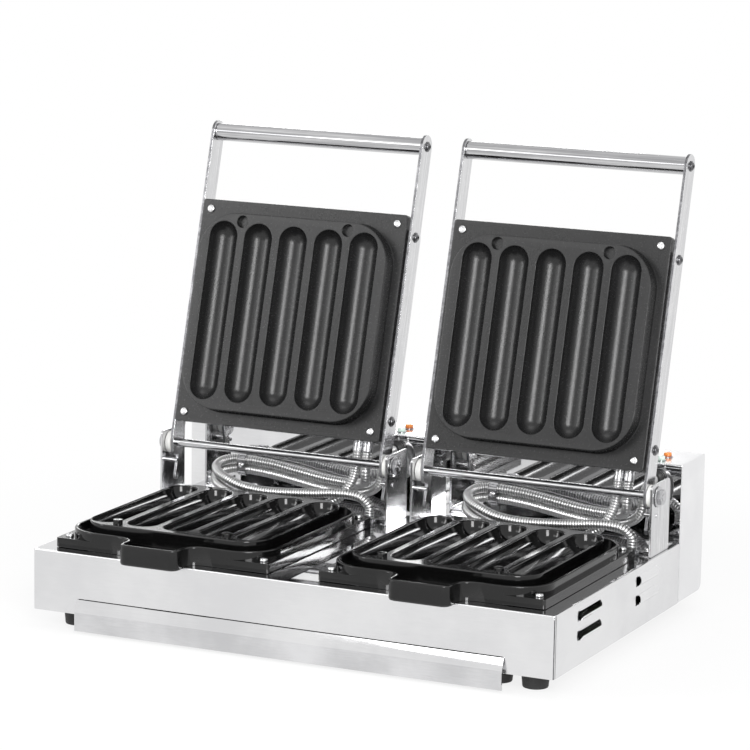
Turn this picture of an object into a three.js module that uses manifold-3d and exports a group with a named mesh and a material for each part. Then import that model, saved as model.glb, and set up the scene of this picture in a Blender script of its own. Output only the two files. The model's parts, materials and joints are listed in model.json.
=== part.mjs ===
// Twin hot dog waffle maker, shown with both heads open.
// Units are millimetres, +Z is up, the front is towards -Y.
// X counts from the middle of the machine, Y from the front face of the casing and Z from the worktop.
// The last lines move the whole machine so that its origin is the middle of its footprint.
import * as THREE from 'three';
import { mergeVertices } from 'three/addons/utils/BufferGeometryUtils.js';
import Module from 'manifold-3d';

const wasm = await Module();
wasm.setup();

// Shared clearances
const seatGap = 0.3;
const runningGap = 0.3;
const cutOverrun = 5;

// Size of the cast plates and their places on the deck: the rest of the machine follows these
const plateSize = 245;
const plateSetback = 16;
const plateSideMargin = 17.5;
const plateGap = 55;
const hingeBehindPlate = 23;
const hingeBeforeBox = 61;
const headPitch = plateSize + plateGap;
const headSides = [['left', -headPitch / 2], ['right', headPitch / 2]];
const hingeY = plateSetback + plateSize + hingeBehindPlate;

// Casing and control box
const boxDepth = 71;
const caseHeight = 64;
const boxRise = 84;
const caseSheet = 1.5;
const footHeight = 19;
const boxCorner = 9;
const bodyWidth = (plateSize + plateSideMargin) * 2 + plateGap;
const deckDepth = hingeY + hingeBeforeBox;
const deckTop = footHeight + caseHeight;
const boxTop = deckTop + boxRise;
const bodyDepth = deckDepth + boxDepth;
const halfBody = bodyWidth / 2;

// Cast lower plate
const plateThick = 10;
const cavityCount = 5;
const cavityMargin = 17.5;
const cavityWeb = 9;
const cavityEndMargin = 25;
const cavityPitch = (plateSize - cavityMargin * 2) / cavityCount;
const cavityRadius = (cavityPitch - cavityWeb) / 2;
const cavityLength = plateSize - cavityEndMargin * 2;
const blockSideInset = 19.5;
const blockEndInset = 14.5;
const blockWidth = plateSize - blockSideInset * 2;
const blockLength = plateSize - blockEndInset * 2;
const blockRise = 26;
const blockCorner = 30;
const rimInset = 5.5;
const rimWidth = plateSize - rimInset * 2;
const rimWall = 4;
const rimRise = 19;
const rimCorner = 40;
const moatFloor = 8;
const spoutWidth = 64;
const spoutReach = 31;
const spoutCorner = 9;
const spoutFlare = 20;
const spoutDrop = 1.6;
const pinRadius = 5;
const pinRise = 2.2;
const pinInset = 24;
const plateBase = deckTop + seatGap;
const plateMiddle = plateSetback + plateSize / 2;
const pinSpread = cavityPitch * (cavityCount - 2) / 2;

// Cast upper plate, as it lies when its head is shut
const padInset = 9.5;
const padWidth = plateSize - padInset * 2;
const padLength = blockLength;
const padThick = 18;
const padCorner = 45;
const socketRadius = 6.5;
const socketDepth = 6;
const shutGap = 0.5;

// Height of the hinge line and how far a head opens
const hingeRise = 62;
const openAngleDeg = 105.5;
const openAngle = THREE.MathUtils.degToRad(openAngleDeg);
const hingeZ = deckTop + hingeRise;
const faceDrop = hingeZ - (plateBase + blockRise + shutGap + padThick);
const backDrop = faceDrop - plateThick;

// Side arms, handle and shaft
const armClearance = 1.5;
const armSpacing = plateSize + armClearance * 2;
const armThick = 3.2;
const armWidth = 25;
const armPastPlate = 100;
const armLength = plateSize + armPastPlate;
const armHeelRadius = 14;
const tailLength = 40;
const tailWidth = 9;
const tailHoleRadius = 2;
const handleRadius = 9.5;
const handleWall = 1.5;
const shaftRadius = 4.5;
const spacerRadius = 11.8;
const spacerThick = 6.2;
const washerRadius = 11;
const washerThick = 2;
const nutAcross = 15;
const nutThick = 5;

// Uprights and their stop pins
const uprightDepth = 52;
const uprightHeight = 76;
const uprightLead = 16.5;
const uprightSheet = 2.5;
const uprightFootWidth = 18;
const uprightFootLength = 32;
const stopRadius = 2.25;
const stopDrop = 19.5;
const stopLead = 2.5;
const stopReach = 11;

// Heater cover behind the upper plate
const coverFrontInset = 14;
const coverRearInset = 2;
const coverOverhang = 0.9;
const coverHalfWidth = plateSize / 2 + coverOverhang;
const coverRise = 24;
const coverSheet = 1.2;
const coverRound = 8;

// Heating elements
const elementRadius = 3.2;
const elementSideInset = 34.5;
const elementEndInset = 32.5;
const elementWidth = plateSize - elementSideInset * 2;
const elementLength = plateSize - elementEndInset * 2;
const elementRuns = 4;
const elementTail = 12;

// Flexible conduits and their glands
const conduitRadius = 5;
const conduitGroove = 4.2;
const conduitBore = 3.2;
const conduitRibs = 36;
const conduitSides = 8;
const ribsPerBoreRing = 5;
const routedPlateSize = 245;
const routeShare = plateSize / routedPlateSize;
const routeShift = plateSize - routedPlateSize;
const glandX = 87 * routeShare;
const glandPitch = 11.4;
const glandRise = 12;
const glandRadius = 5.5;
const glandLength = 13;
const glandPlate = 1.5;
const glandPlateMargin = 3;
const deckGlandX = 113 * routeShare;
const deckGlandBeforeHinge = 9;
const deckGlandY = hingeY - deckGlandBeforeHinge;
const deckGlandHeight = 5;
const boxGlandX = 112 * routeShare;
const boxGlandDrop = 16;
const boxGlandRise = boxRise - boxGlandDrop;
const boxGlandLength = 8;
const glandNutRadius = 8;
const clipX = -62;
const clipY = 322;
const clipLow = 31.6;
const clipHigh = 42.4;
const clipPitch = clipHigh - clipLow;
const clipWall = 1.4;
const clipWidth = 10;

// Crumb tray and its guides
const traySideInset = 54.5;
const trayWidth = bodyWidth - traySideInset * 2;
const trayDepth = 300;
const traySheet = 1.2;
const trayWallHeight = 12;
const trayLift = 0.4;
const lipOverhang = 2.5;
const lipWidth = trayWidth + lipOverhang * 2;
const lipTop = 16.2;
const lipLean = 5;
const lipBreak = 3.6;
const lipClearance = 3;
const lipDrop = footHeight - lipClearance;
const slotHeight = 16.6;
const slotSideGap = 0.8;
const guideHeight = 10;
const guideInset = 14;

// Feet
const footTopRadius = 14.5;
const footBaseRadius = 13;
const footEdge = 2;
const footScrewRadius = 4;
const footScrewDepth = 8;
const footOuterInset = 33;
const footInnerInset = 73;
const footRearSideInset = 50;
const footOuterX = halfBody - footOuterInset;
const footInnerX = halfBody - footInnerInset;
const footRearX = halfBody - footRearSideInset;
const footFrontY = 35;
const footRearInset = 31;

// Side louvres
const louvreLength = 60;
const louvreHeight = 10;
const louvreSlot = 6;
const louvreFrontY = 91;
const louvreRearInset = 94;
const louvreRearY = deckDepth - louvreRearInset;
const louvreLowInset = 2;
const louvrePitchShare = 0.3125;
const louvreLowZ = caseHeight / 2 - louvreLowInset;
const louvrePitchZ = caseHeight * louvrePitchShare;
const hoodProud = 3.5;
const hoodSheet = 1;

// Lamps, knobs, thermostats and mains gland
const lampSideInset = 11.5;
const lampX = plateSize / 2 - lampSideInset;
const lampRearInset = 37;
const lampPitch = 20;
const lampRadius = 4.2;
const lampRise = 6;
const bezelRadius = 6;
const bezelThick = 1.6;
const lampBody = 12;
const knobX = 40;
const knobRadius = 15;
const knobHeight = 16;
const knobSkirt = 3;
const knobSkirtRadius = 18;
const knobGripDepth = 1.6;
const knobGrips = 6;
const spindleRadius = 3;
const spindleReach = 9;
const thermostatSize = 34;
const thermostatHeight = 24;
const mainsSideInset = 75;
const mainsX = halfBody - mainsSideInset;
const mainsZ = 34;
const mainsRadius = 9;
const mainsReach = 14;
const mainsBore = 4.5;
const ventCount = 6;
const ventLength = 34;
const ventHeight = 4;
const ventPitch = 9;

// Materials
const steel = new THREE.MeshStandardMaterial({ color: 0xd9dadb, metalness: 0.9, roughness: 0.28 });
const brightSteel = new THREE.MeshStandardMaterial({ color: 0xe4e5e6, metalness: 1, roughness: 0.16 });
const castDark = new THREE.MeshStandardMaterial({ color: 0x2b2c2e, metalness: 0.3, roughness: 0.42 });
const castGlossy = new THREE.MeshStandardMaterial({ color: 0x1b1b1d, metalness: 0.3, roughness: 0.24 });
const rubber = new THREE.MeshStandardMaterial({ color: 0x1a1a1a, metalness: 0, roughness: 0.75 });
const whiteNylon = new THREE.MeshStandardMaterial({ color: 0xf1f1ee, metalness: 0, roughness: 0.45 });
const elementSteel = new THREE.MeshStandardMaterial({ color: 0x6b5f52, metalness: 0.8, roughness: 0.5 });
const knobBlack = new THREE.MeshStandardMaterial({ color: 0x161616, metalness: 0, roughness: 0.4 });
const amberLens = new THREE.MeshStandardMaterial({ color: 0xe0701c, metalness: 0, roughness: 0.2 });
const greenLens = new THREE.MeshStandardMaterial({ color: 0xb9dccb, metalness: 0, roughness: 0.2 });

const machine = new THREE.Group();

// Turns a closed geometry into a solid that can be joined and cut
function solid(geometry) {
  const bare = geometry.clone();
  for (const name of Object.keys(bare.attributes)) {
    if (name !== 'position') bare.deleteAttribute(name);
  }
  const merged = mergeVertices(bare);
  const index = merged.index.array;
  const kept = [];
  for (let i = 0; i < index.length; i += 3) {
    const [a, b, c] = [index[i], index[i + 1], index[i + 2]];
    if (a !== b && b !== c && c !== a) kept.push(a, b, c);
  }
  return new wasm.Manifold(new wasm.Mesh({
    numProp: 3,
    vertProperties: new Float32Array(merged.attributes.position.array),
    triVerts: new Uint32Array(kept),
  }));
}

// Turns a solid back into a geometry for a mesh
function toGeometry(body) {
  const mesh = body.getMesh();
  const geometry = new THREE.BufferGeometry();
  geometry.setAttribute('position', new THREE.BufferAttribute(new Float32Array(mesh.vertProperties), 3));
  geometry.setIndex(new THREE.BufferAttribute(new Uint32Array(mesh.triVerts), 1));
  geometry.computeVertexNormals();
  return geometry;
}

// Adds a named piece to a group
function addPiece(group, name, body, material) {
  const mesh = new THREE.Mesh(body.isBufferGeometry ? body : toGeometry(body), material);
  mesh.name = name;
  group.add(mesh);
  return mesh;
}

function block(x0, x1, y0, y1, z0, z1) {
  const geometry = new THREE.BoxGeometry(x1 - x0, y1 - y0, z1 - z0);
  geometry.translate((x0 + x1) / 2, (y0 + y1) / 2, (z0 + z1) / 2);
  return solid(geometry);
}

// A round bar along one axis, from one end to the other
function bar(axis, radius, from, to, a, b, sides = 24) {
  const geometry = new THREE.CylinderGeometry(radius, radius, to - from, sides);
  const middle = (from + to) / 2;
  if (axis === 'x') {
    geometry.rotateZ(Math.PI / 2);
    geometry.translate(middle, a, b);
  } else if (axis === 'y') {
    geometry.translate(a, middle, b);
  } else {
    geometry.rotateX(Math.PI / 2);
    geometry.translate(a, b, middle);
  }
  return solid(geometry);
}

// Extrudes an outline drawn in X and Y from one height to another
function prismZ(shape, z0, z1, curveSegments = 8) {
  const geometry = new THREE.ExtrudeGeometry(shape, { depth: z1 - z0, bevelEnabled: false, curveSegments });
  geometry.translate(0, 0, z0);
  return solid(geometry);
}

// Extrudes an outline drawn in Y and Z along X
function prismX(shape, x0, x1, curveSegments = 8) {
  const geometry = new THREE.ExtrudeGeometry(shape, { depth: x1 - x0, bevelEnabled: false, curveSegments });
  const turn = new THREE.Matrix4().makeBasis(
    new THREE.Vector3(0, 1, 0),
    new THREE.Vector3(0, 0, 1),
    new THREE.Vector3(1, 0, 0),
  );
  geometry.applyMatrix4(turn);
  geometry.translate(x0, 0, 0);
  return solid(geometry);
}

function roundedRectangle(x0, x1, y0, y1, radius) {
  const shape = new THREE.Shape();
  shape.moveTo(x0 + radius, y0);
  shape.lineTo(x1 - radius, y0);
  shape.absarc(x1 - radius, y0 + radius, radius, -Math.PI / 2, 0, false);
  shape.lineTo(x1, y1 - radius);
  shape.absarc(x1 - radius, y1 - radius, radius, 0, Math.PI / 2, false);
  shape.lineTo(x0 + radius, y1);
  shape.absarc(x0 + radius, y1 - radius, radius, Math.PI / 2, Math.PI, false);
  shape.lineTo(x0, y0 + radius);
  shape.absarc(x0 + radius, y0 + radius, radius, Math.PI, Math.PI * 3 / 2, false);
  return shape;
}

// A hexagon nut blank along Z
function hexagon(across, z0, z1, x, y) {
  return bar('z', across / Math.sqrt(3), z0, z1, x, y, 6);
}

// Casing with its tray slot, heater wells, conduit holes and side louvres
function makeCasing() {
  let shell = block(-halfBody, halfBody, 0, deckDepth, footHeight, deckTop);
  const wall = halfBody - caseSheet;
  shell = shell.subtract(block(-wall, wall, caseSheet, deckDepth + cutOverrun,
    footHeight - cutOverrun, deckTop - caseSheet));
  const slotHalf = trayWidth / 2 + slotSideGap;
  shell = shell.subtract(block(-slotHalf, slotHalf, -cutOverrun, caseSheet + cutOverrun,
    footHeight - cutOverrun, footHeight + slotHeight));
  const wellX = elementWidth / 2 + elementRadius * 2;
  const wellY = elementLength / 2 + elementRadius * 2;
  for (const [, x] of headSides) {
    shell = shell.subtract(block(x - wellX, x + wellX, plateMiddle - wellY, plateMiddle + wellY,
      deckTop - caseSheet - cutOverrun, deckTop + cutOverrun));
    shell = shell.subtract(bar('z', conduitBore, deckTop - caseSheet - cutOverrun, deckTop + cutOverrun,
      x + deckGlandX, deckGlandY, 12));
  }
  for (const side of [-1, 1]) {
    for (const z of [louvreLowZ, louvreLowZ + louvrePitchZ]) {
      for (const y of [louvreFrontY, louvreRearY]) {
        shell = shell.add(makeHood(side, y, footHeight + z, 0));
        shell = shell.subtract(makeHood(side, y, footHeight + z, hoodSheet));
        shell = shell.subtract(makeLouvreMouth(side, y, footHeight + z, y === louvreFrontY));
      }
    }
  }
  return shell;
}

// A pressed hood on a side wall, or its hollow when it is drawn in by a sheet thickness
function makeHood(side, y, z, inset) {
  const radius = louvreHeight / 2 + hoodSheet - inset;
  const geometry = new THREE.CapsuleGeometry(radius, louvreLength - louvreHeight, 2, 8);
  geometry.scale((hoodProud + caseSheet - inset) / radius, 1, 1);
  geometry.translate(side * (halfBody - caseSheet), y, z);
  const inner = side * (halfBody - caseSheet - (inset > 0 ? cutOverrun : 0));
  const outer = side * (halfBody + hoodProud + cutOverrun);
  const keep = block(Math.min(inner, outer), Math.max(inner, outer), y - louvreLength, y + louvreLength,
    z - louvreHeight * 2, z + louvreHeight * 2);
  return solid(geometry).intersect(keep);
}

// What a louvre is open at: its front end, and for the front pair its upper side too
function makeLouvreMouth(side, y, z, openAbove) {
  const inner = side * (halfBody - caseSheet / 2);
  const outer = side * (halfBody + hoodProud + cutOverrun);
  const [x0, x1] = [Math.min(inner, outer), Math.max(inner, outer)];
  const front = y - louvreLength / 2;
  const half = louvreHeight / 2;
  const mouth = block(x0, x1, front - hoodSheet, front + half, z - half, z + half);
  if (!openAbove) return mouth;
  return mouth.add(block(x0, x1, front, front + louvreLength - half, z + half - louvreSlot, z + half));
}

// Floor sheet with the two folded tray guides
function makeFloor() {
  const edge = halfBody - caseSheet - seatGap;
  let floor = block(-edge, edge, caseSheet + seatGap, bodyDepth - caseSheet - seatGap * 2,
    footHeight, footHeight + caseSheet);
  const guideInner = trayWidth / 2 + slotSideGap / 2;
  const stopY = trayDepth + runningGap;
  for (const side of [-1, 1]) {
    const a = side * guideInner;
    const b = side * (guideInner + caseSheet);
    floor = floor.add(block(Math.min(a, b), Math.max(a, b), guideInset, stopY + caseSheet,
      footHeight, footHeight + caseSheet + guideHeight));
  }
  return floor.add(block(-guideInner - caseSheet / 2, guideInner + caseSheet / 2, stopY, stopY + caseSheet,
    footHeight, footHeight + caseSheet + guideHeight));
}

// Crumb tray: a shallow pan with a slanted and then upright pull lip
function makeTray() {
  const half = trayWidth / 2;
  const bottom = footHeight + caseSheet + trayLift;
  const top = bottom + trayWallHeight;
  const front = -seatGap;
  let tray = block(-half, half, front, trayDepth, bottom, top);
  tray = tray.subtract(block(-half + traySheet, half - traySheet, front - cutOverrun, trayDepth - traySheet,
    bottom + traySheet, top + cutOverrun));
  const lip = new THREE.Shape();
  const outer = front - traySheet - lipLean;
  lip.moveTo(front, footHeight + lipTop);
  lip.lineTo(front - traySheet, footHeight + lipTop);
  lip.lineTo(outer, footHeight + lipBreak);
  lip.lineTo(outer, footHeight - lipDrop);
  lip.lineTo(outer + traySheet, footHeight - lipDrop);
  lip.lineTo(outer + traySheet, footHeight + lipBreak);
  tray = tray.add(prismX(lip, -lipWidth / 2, lipWidth / 2));
  return tray.add(block(-half, half, outer + traySheet / 2, front + traySheet, bottom, bottom + traySheet));
}

function makeFoot() {
  const top = footHeight - seatGap;
  const profile = [
    new THREE.Vector2(0, footScrewDepth),
    new THREE.Vector2(footScrewRadius, footScrewDepth),
    new THREE.Vector2(footScrewRadius, 0),
    new THREE.Vector2(footBaseRadius - footEdge, 0),
    new THREE.Vector2(footBaseRadius, footEdge),
    new THREE.Vector2(footTopRadius, top - footEdge),
    new THREE.Vector2(footTopRadius - footEdge / 2, top),
    new THREE.Vector2(0, top),
  ];
  const geometry = new THREE.LatheGeometry(profile, 14);
  geometry.rotateX(Math.PI / 2);
  return solid(geometry);
}

// Control box shell, open at its back and underside
function makeControlBox() {
  const front = deckDepth + seatGap;
  const outline = new THREE.Shape();
  outline.moveTo(front, footHeight);
  outline.lineTo(bodyDepth - boxCorner, footHeight);
  outline.absarc(bodyDepth - boxCorner, footHeight + boxCorner, boxCorner, -Math.PI / 2, 0, false);
  outline.lineTo(bodyDepth, boxTop);
  outline.lineTo(front, boxTop);
  let shell = prismX(outline, -halfBody, halfBody, 3);
  shell = shell.subtract(block(-halfBody + caseSheet, halfBody - caseSheet, front + caseSheet,
    bodyDepth + cutOverrun, footHeight - cutOverrun, boxTop - caseSheet));
  const [y0, y1] = [front - cutOverrun, front + caseSheet + cutOverrun];
  shell = shell.subtract(block(-halfBody / 2, halfBody / 2, y0, y1,
    footHeight - cutOverrun, deckTop - caseHeight / 4));
  shell = shell.subtract(block(-halfBody + caseSheet, halfBody - caseSheet, y0, y1,
    footHeight - cutOverrun, footHeight + caseSheet + seatGap));
  for (const [, x] of headSides) {
    shell = shell.subtract(bar('y', conduitBore, y0, y1, x + boxGlandX, deckTop + boxGlandRise, 12));
    for (const y of [bodyDepth - lampRearInset, bodyDepth - lampRearInset - lampPitch]) {
      shell = shell.subtract(bar('z', lampRadius + runningGap, boxTop - caseSheet - cutOverrun,
        boxTop + cutOverrun, x + lampX, y, 12));
    }
    shell = shell.subtract(bar('z', spindleRadius + runningGap, boxTop - caseSheet - cutOverrun,
      boxTop + cutOverrun, x + knobX, bodyDepth - boxDepth / 2, 12));
  }
  return shell;
}

// Removable back panel with vent slots and the hole for the mains gland
function makeRearPanel() {
  const edge = halfBody - caseSheet - seatGap;
  const y1 = bodyDepth - seatGap;
  const y0 = y1 - caseSheet;
  let panel = block(-edge, edge, y0, y1, footHeight + seatGap, boxTop - caseSheet - seatGap);
  panel = panel.subtract(bar('y', mainsRadius * 3 / 4 + runningGap, y0 - cutOverrun, y1 + cutOverrun,
    mainsX, footHeight + mainsZ, 20));
  for (const [, x] of headSides) {
    for (let i = 0; i < ventCount; i += 1) {
      const z = deckTop + ventPitch * (i - 1 / 2);
      panel = panel.subtract(block(x - ventLength / 2, x + ventLength / 2, y0 - cutOverrun, y1 + cutOverrun,
        z, z + ventHeight));
    }
  }
  return panel;
}

// Cable gland in the back panel: collar, hexagon and rounded nose around a bore
function makeMainsGland() {
  const wall = bodyDepth;
  const neck = mainsRadius * 3 / 4;
  const profile = [
    new THREE.Vector2(mainsBore, -cutOverrun),
    new THREE.Vector2(neck, -cutOverrun),
    new THREE.Vector2(neck, 0),
    new THREE.Vector2(mainsRadius, 0),
    new THREE.Vector2(mainsRadius, mainsReach / 3),
    new THREE.Vector2(mainsRadius * 7 / 8, mainsReach / 3),
    new THREE.Vector2(mainsRadius * 7 / 8, mainsReach * 3 / 4),
    new THREE.Vector2(mainsBore + seatGap * 3, mainsReach),
    new THREE.Vector2(mainsBore, mainsReach),
    new THREE.Vector2(mainsBore, -cutOverrun),
  ];
  const geometry = new THREE.LatheGeometry(profile, 12);
  geometry.translate(mainsX, wall, 0);
  const body = solid(geometry);
  return body.translate([0, 0, footHeight + mainsZ]);
}

// Indicator lamp: a domed lens, its bezel and the body below the sheet
function makeLamp() {
  const profile = [
    new THREE.Vector2(0, -lampBody),
    new THREE.Vector2(lampRadius, -lampBody),
    new THREE.Vector2(lampRadius, seatGap),
    new THREE.Vector2(bezelRadius, seatGap),
    new THREE.Vector2(bezelRadius, bezelThick),
    new THREE.Vector2(lampRadius, bezelThick),
    new THREE.Vector2(lampRadius * 0.9, lampRise * 2 / 3),
    new THREE.Vector2(lampRadius / 2, lampRise * 0.94),
    new THREE.Vector2(0, lampRise),
  ];
  const geometry = new THREE.LatheGeometry(profile, 10);
  geometry.rotateX(Math.PI / 2);
  return solid(geometry);
}

// Thermostat: a square body on the underside of the top sheet and its spindle
function makeThermostat() {
  const top = -caseSheet - seatGap;
  const half = thermostatSize / 2;
  const body = block(-half, half, -half, half, top - thermostatHeight, top);
  return body.add(bar('z', spindleRadius, top - thermostatHeight / 2, spindleReach, 0, 0, 16));
}

// Knob: a dial skirt and a fluted grip with a pointer rib
function makeKnob() {
  const base = seatGap;
  let knob = bar('z', knobSkirtRadius, base, base + knobSkirt, 0, 0, 24);
  knob = knob.add(bar('z', knobRadius, base, base + knobHeight, 0, 0, 24));
  for (let i = 0; i < knobGrips; i += 1) {
    const angle = Math.PI * 2 * (i + 1 / 2) / knobGrips;
    knob = knob.subtract(bar('z', knobGripDepth * 2, base + knobSkirt, base + knobHeight + cutOverrun,
      (knobRadius + knobGripDepth) * Math.cos(angle), (knobRadius + knobGripDepth) * Math.sin(angle), 6));
  }
  knob = knob.add(block(-knobGripDepth / 2, knobGripDepth / 2, -knobRadius, 0, base + knobHeight / 2,
    base + knobHeight + knobGripDepth));
  return knob.subtract(bar('z', spindleRadius + runningGap, -cutOverrun, spindleReach + runningGap,
    0, 0, 12));
}

// Outline of the lower mould's rim, with the overflow spout at the front, drawn in by an inset
function rimOutline(inset) {
  const half = rimWidth / 2 - inset;
  const front = -plateSize / 2 + inset;
  const rear = plateSize / 2 - inset;
  const corner = rimCorner - inset;
  const spout = spoutWidth / 2 - inset;
  const nose = front - spoutReach;
  const noseCorner = spoutCorner - inset;
  const flare = spoutFlare;
  const shape = new THREE.Shape();
  shape.moveTo(-half, front + corner);
  shape.absarc(-half + corner, front + corner, corner, Math.PI, Math.PI * 3 / 2, false);
  shape.lineTo(-spout - flare, front);
  shape.bezierCurveTo(-spout - flare / 4, front, -spout, front - flare / 8, -spout, front - flare * 3 / 4);
  shape.lineTo(-spout, nose + noseCorner);
  shape.absarc(-spout + noseCorner, nose + noseCorner, noseCorner, Math.PI, Math.PI * 3 / 2, false);
  shape.lineTo(spout - noseCorner, nose);
  shape.absarc(spout - noseCorner, nose + noseCorner, noseCorner, -Math.PI / 2, 0, false);
  shape.lineTo(spout, front - flare * 3 / 4);
  shape.bezierCurveTo(spout, front - flare / 8, spout + flare / 4, front, spout + flare, front);
  shape.lineTo(half - corner, front);
  shape.absarc(half - corner, front + corner, corner, -Math.PI / 2, 0, false);
  shape.lineTo(half, rear - corner);
  shape.absarc(half - corner, rear - corner, corner, 0, Math.PI / 2, false);
  shape.lineTo(-half + corner, rear);
  shape.absarc(-half + corner, rear - corner, corner, Math.PI / 2, Math.PI, false);
  return shape;
}

// The five half-round moulds, sunk into a face at the given height
function cutCavities(body, face, middleY) {
  let cut = body;
  for (let i = 0; i < cavityCount; i += 1) {
    const geometry = new THREE.CapsuleGeometry(cavityRadius, cavityLength - cavityRadius * 2, 3, 12);
    geometry.translate((i - (cavityCount - 1) / 2) * cavityPitch, middleY, face);
    cut = cut.subtract(solid(geometry));
  }
  return cut;
}

// Lower casting about its own middle: flange, rim, moat, mould block, pins and spout
function makeLowerPlate() {
  const half = plateSize / 2;
  let casting = block(-half, half, -half, half, 0, plateThick);
  casting = casting.add(prismZ(rimOutline(0), 0, rimRise, 4));
  casting = casting.subtract(prismZ(rimOutline(rimWall), moatFloor, rimRise + cutOverrun, 4));
  const front = -half - plateSetback;
  const chin = block(-spoutWidth / 2 + spoutCorner / 2, spoutWidth / 2 - spoutCorner / 2,
    -half - spoutReach + spoutCorner / 4, front - seatGap * 2, -spoutDrop, moatFloor / 2);
  casting = casting.add(chin);
  const [a, b] = [blockWidth / 2, blockLength / 2];
  const mould = roundedRectangle(-a, a, -b, b, blockCorner);
  casting = casting.add(prismZ(mould, plateThick / 2, blockRise, 4));
  casting = cutCavities(casting, blockRise, 0);
  for (const side of [-1, 1]) {
    casting = casting.add(bar('z', pinRadius, blockRise - plateThick / 2, blockRise + pinRise,
      side * pinSpread, -half + pinInset, 10));
  }
  return casting;
}

// Upper casting in its head's frame: flange, mating pad, moulds and pin sockets
function makeUpperPlate() {
  const half = plateSize / 2;
  const middle = -hingeBehindPlate - half;
  const face = -faceDrop - padThick;
  let casting = block(-half, half, middle - half, middle + half, -faceDrop, -backDrop);
  const [a, b] = [padWidth / 2, padLength / 2];
  const pad = roundedRectangle(-a, a, middle - b, middle + b, padCorner);
  casting = casting.add(prismZ(pad, face, -faceDrop + plateThick / 2, 5));
  casting = cutCavities(casting, face, middle);
  for (const side of [-1, 1]) {
    casting = casting.subtract(bar('z', socketRadius, face - cutOverrun, face + socketDepth,
      side * pinSpread, middle - half + pinInset, 10));
  }
  return casting;
}

// Heating element: a flat tube that runs to and fro, with two terminals
function makeElement(middleX, middleY, z, tailUp) {
  const path = new THREE.CurvePath();
  const step = elementWidth / (elementRuns - 1);
  const reach = elementLength / 2 - step / 2;
  const points = [];
  for (let i = 0; i < elementRuns; i += 1) {
    const x = -elementWidth / 2 + i * step;
    const up = i % 2 === 0 ? 1 : -1;
    points.push([new THREE.Vector3(x, -up * reach, 0), new THREE.Vector3(x, up * reach, 0)]);
  }
  points.forEach(([a, b], i) => {
    path.add(new THREE.LineCurve3(a, b));
    if (i + 1 < points.length) {
      const c = points[i + 1][0];
      const bulge = (b.y > 0 ? 1 : -1) * step * 2 / 3;
      path.add(new THREE.CubicBezierCurve3(b, new THREE.Vector3(b.x, b.y + bulge, 0),
        new THREE.Vector3(c.x, c.y + bulge, 0), c));
    }
  });
  const samples = path.getSpacedPoints(elementRuns * 5);
  const section = new THREE.Shape();
  section.absarc(0, 0, elementRadius, 0, Math.PI * 2, false);
  const geometry = new THREE.ExtrudeGeometry(section, {
    steps: samples.length - 1,
    curveSegments: 3,
    bevelEnabled: false,
    extrudePath: new THREE.CatmullRomCurve3(samples),
  });
  geometry.translate(middleX, middleY, z);
  let body = solid(geometry);
  const last = points[points.length - 1][1];
  for (const p of [points[0][0], last]) {
    const [z0, z1] = tailUp > 0 ? [z, z + elementTail] : [z - elementTail, z];
    body = body.add(bar('z', elementRadius * 0.8, z0, z1, middleX + p.x, middleY + p.y, 6));
  }
  return body;
}

// Heater cover in its head's frame: a folded pan that is open towards the upper plate
function makeCover() {
  const y0 = -hingeBehindPlate - plateSize + coverFrontInset;
  const y1 = -hingeBehindPlate - coverRearInset;
  const bottom = -backDrop + seatGap;
  const profile = (inset, low) => {
    const shape = new THREE.Shape();
    const round = coverRound - inset;
    shape.moveTo(y0 + inset, low);
    shape.lineTo(y1 - inset, low);
    shape.lineTo(y1 - inset, coverRise - inset - round);
    shape.absarc(y1 - inset - round, coverRise - inset - round, round, 0, Math.PI / 2, false);
    shape.lineTo(y0 + inset + round, coverRise - inset);
    shape.absarc(y0 + inset + round, coverRise - inset - round, round, Math.PI / 2, Math.PI, false);
    return shape;
  };
  const shell = prismX(profile(0, bottom), -coverHalfWidth, coverHalfWidth, 4);
  const hollow = prismX(profile(coverSheet, bottom - cutOverrun), -coverHalfWidth + coverSheet,
    coverHalfWidth - coverSheet, 4);
  let cover = shell.subtract(hollow);
  for (const x of [glandX, glandX + glandPitch]) {
    cover = cover.subtract(bar('y', conduitBore, y1 - coverSheet - cutOverrun, y1 + cutOverrun,
      x, glandRise, 12));
  }
  return cover;
}

// Side arm in its head's frame, from the shaft hole to the round end at the handle
function makeArm(side) {
  const half = armWidth / 2;
  const tailFront = stopOffsetInArm() - stopRadius - seatGap;
  const tailBack = tailFront - tailWidth;
  const shape = new THREE.Shape();
  shape.moveTo(-armLength, -half);
  shape.lineTo(-armHeelRadius / 2, -half);
  shape.lineTo(armHeelRadius * Math.cos(Math.PI / 6), -armHeelRadius / 2);
  shape.absarc(0, 0, armHeelRadius, -Math.PI / 6, Math.asin(-tailFront / armHeelRadius), false);
  const tailRound = tailWidth / 2;
  const tailTip = tailLength - tailRound;
  shape.lineTo(tailTip, -tailFront);
  shape.absarc(tailTip, -tailFront + tailRound, tailRound, -Math.PI / 2, Math.PI / 2, false);
  shape.lineTo(0, -tailBack);
  shape.lineTo(-armHeelRadius, half);
  shape.lineTo(-armLength, half);
  shape.absarc(-armLength, 0, half, Math.PI / 2, Math.PI * 3 / 2, false);
  const inner = side * armSpacing / 2;
  const outer = side * (armSpacing / 2 + armThick);
  const x0 = Math.min(inner, outer);
  const x1 = Math.max(inner, outer);
  let arm = prismX(shape, x0, x1, 6);
  arm = arm.subtract(bar('x', shaftRadius + runningGap, x0 - cutOverrun, x1 + cutOverrun, 0, 0, 12));
  return arm.subtract(bar('x', tailHoleRadius, x0 - cutOverrun, x1 + cutOverrun,
    tailTip, -tailFront + tailRound, 8));
}

// How far in front of the arm's middle line the stop pin lies when the head is open
function stopOffsetInArm() {
  const lean = openAngle - Math.PI / 2;
  return stopLead * Math.cos(lean) - stopDrop * Math.sin(lean);
}

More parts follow.
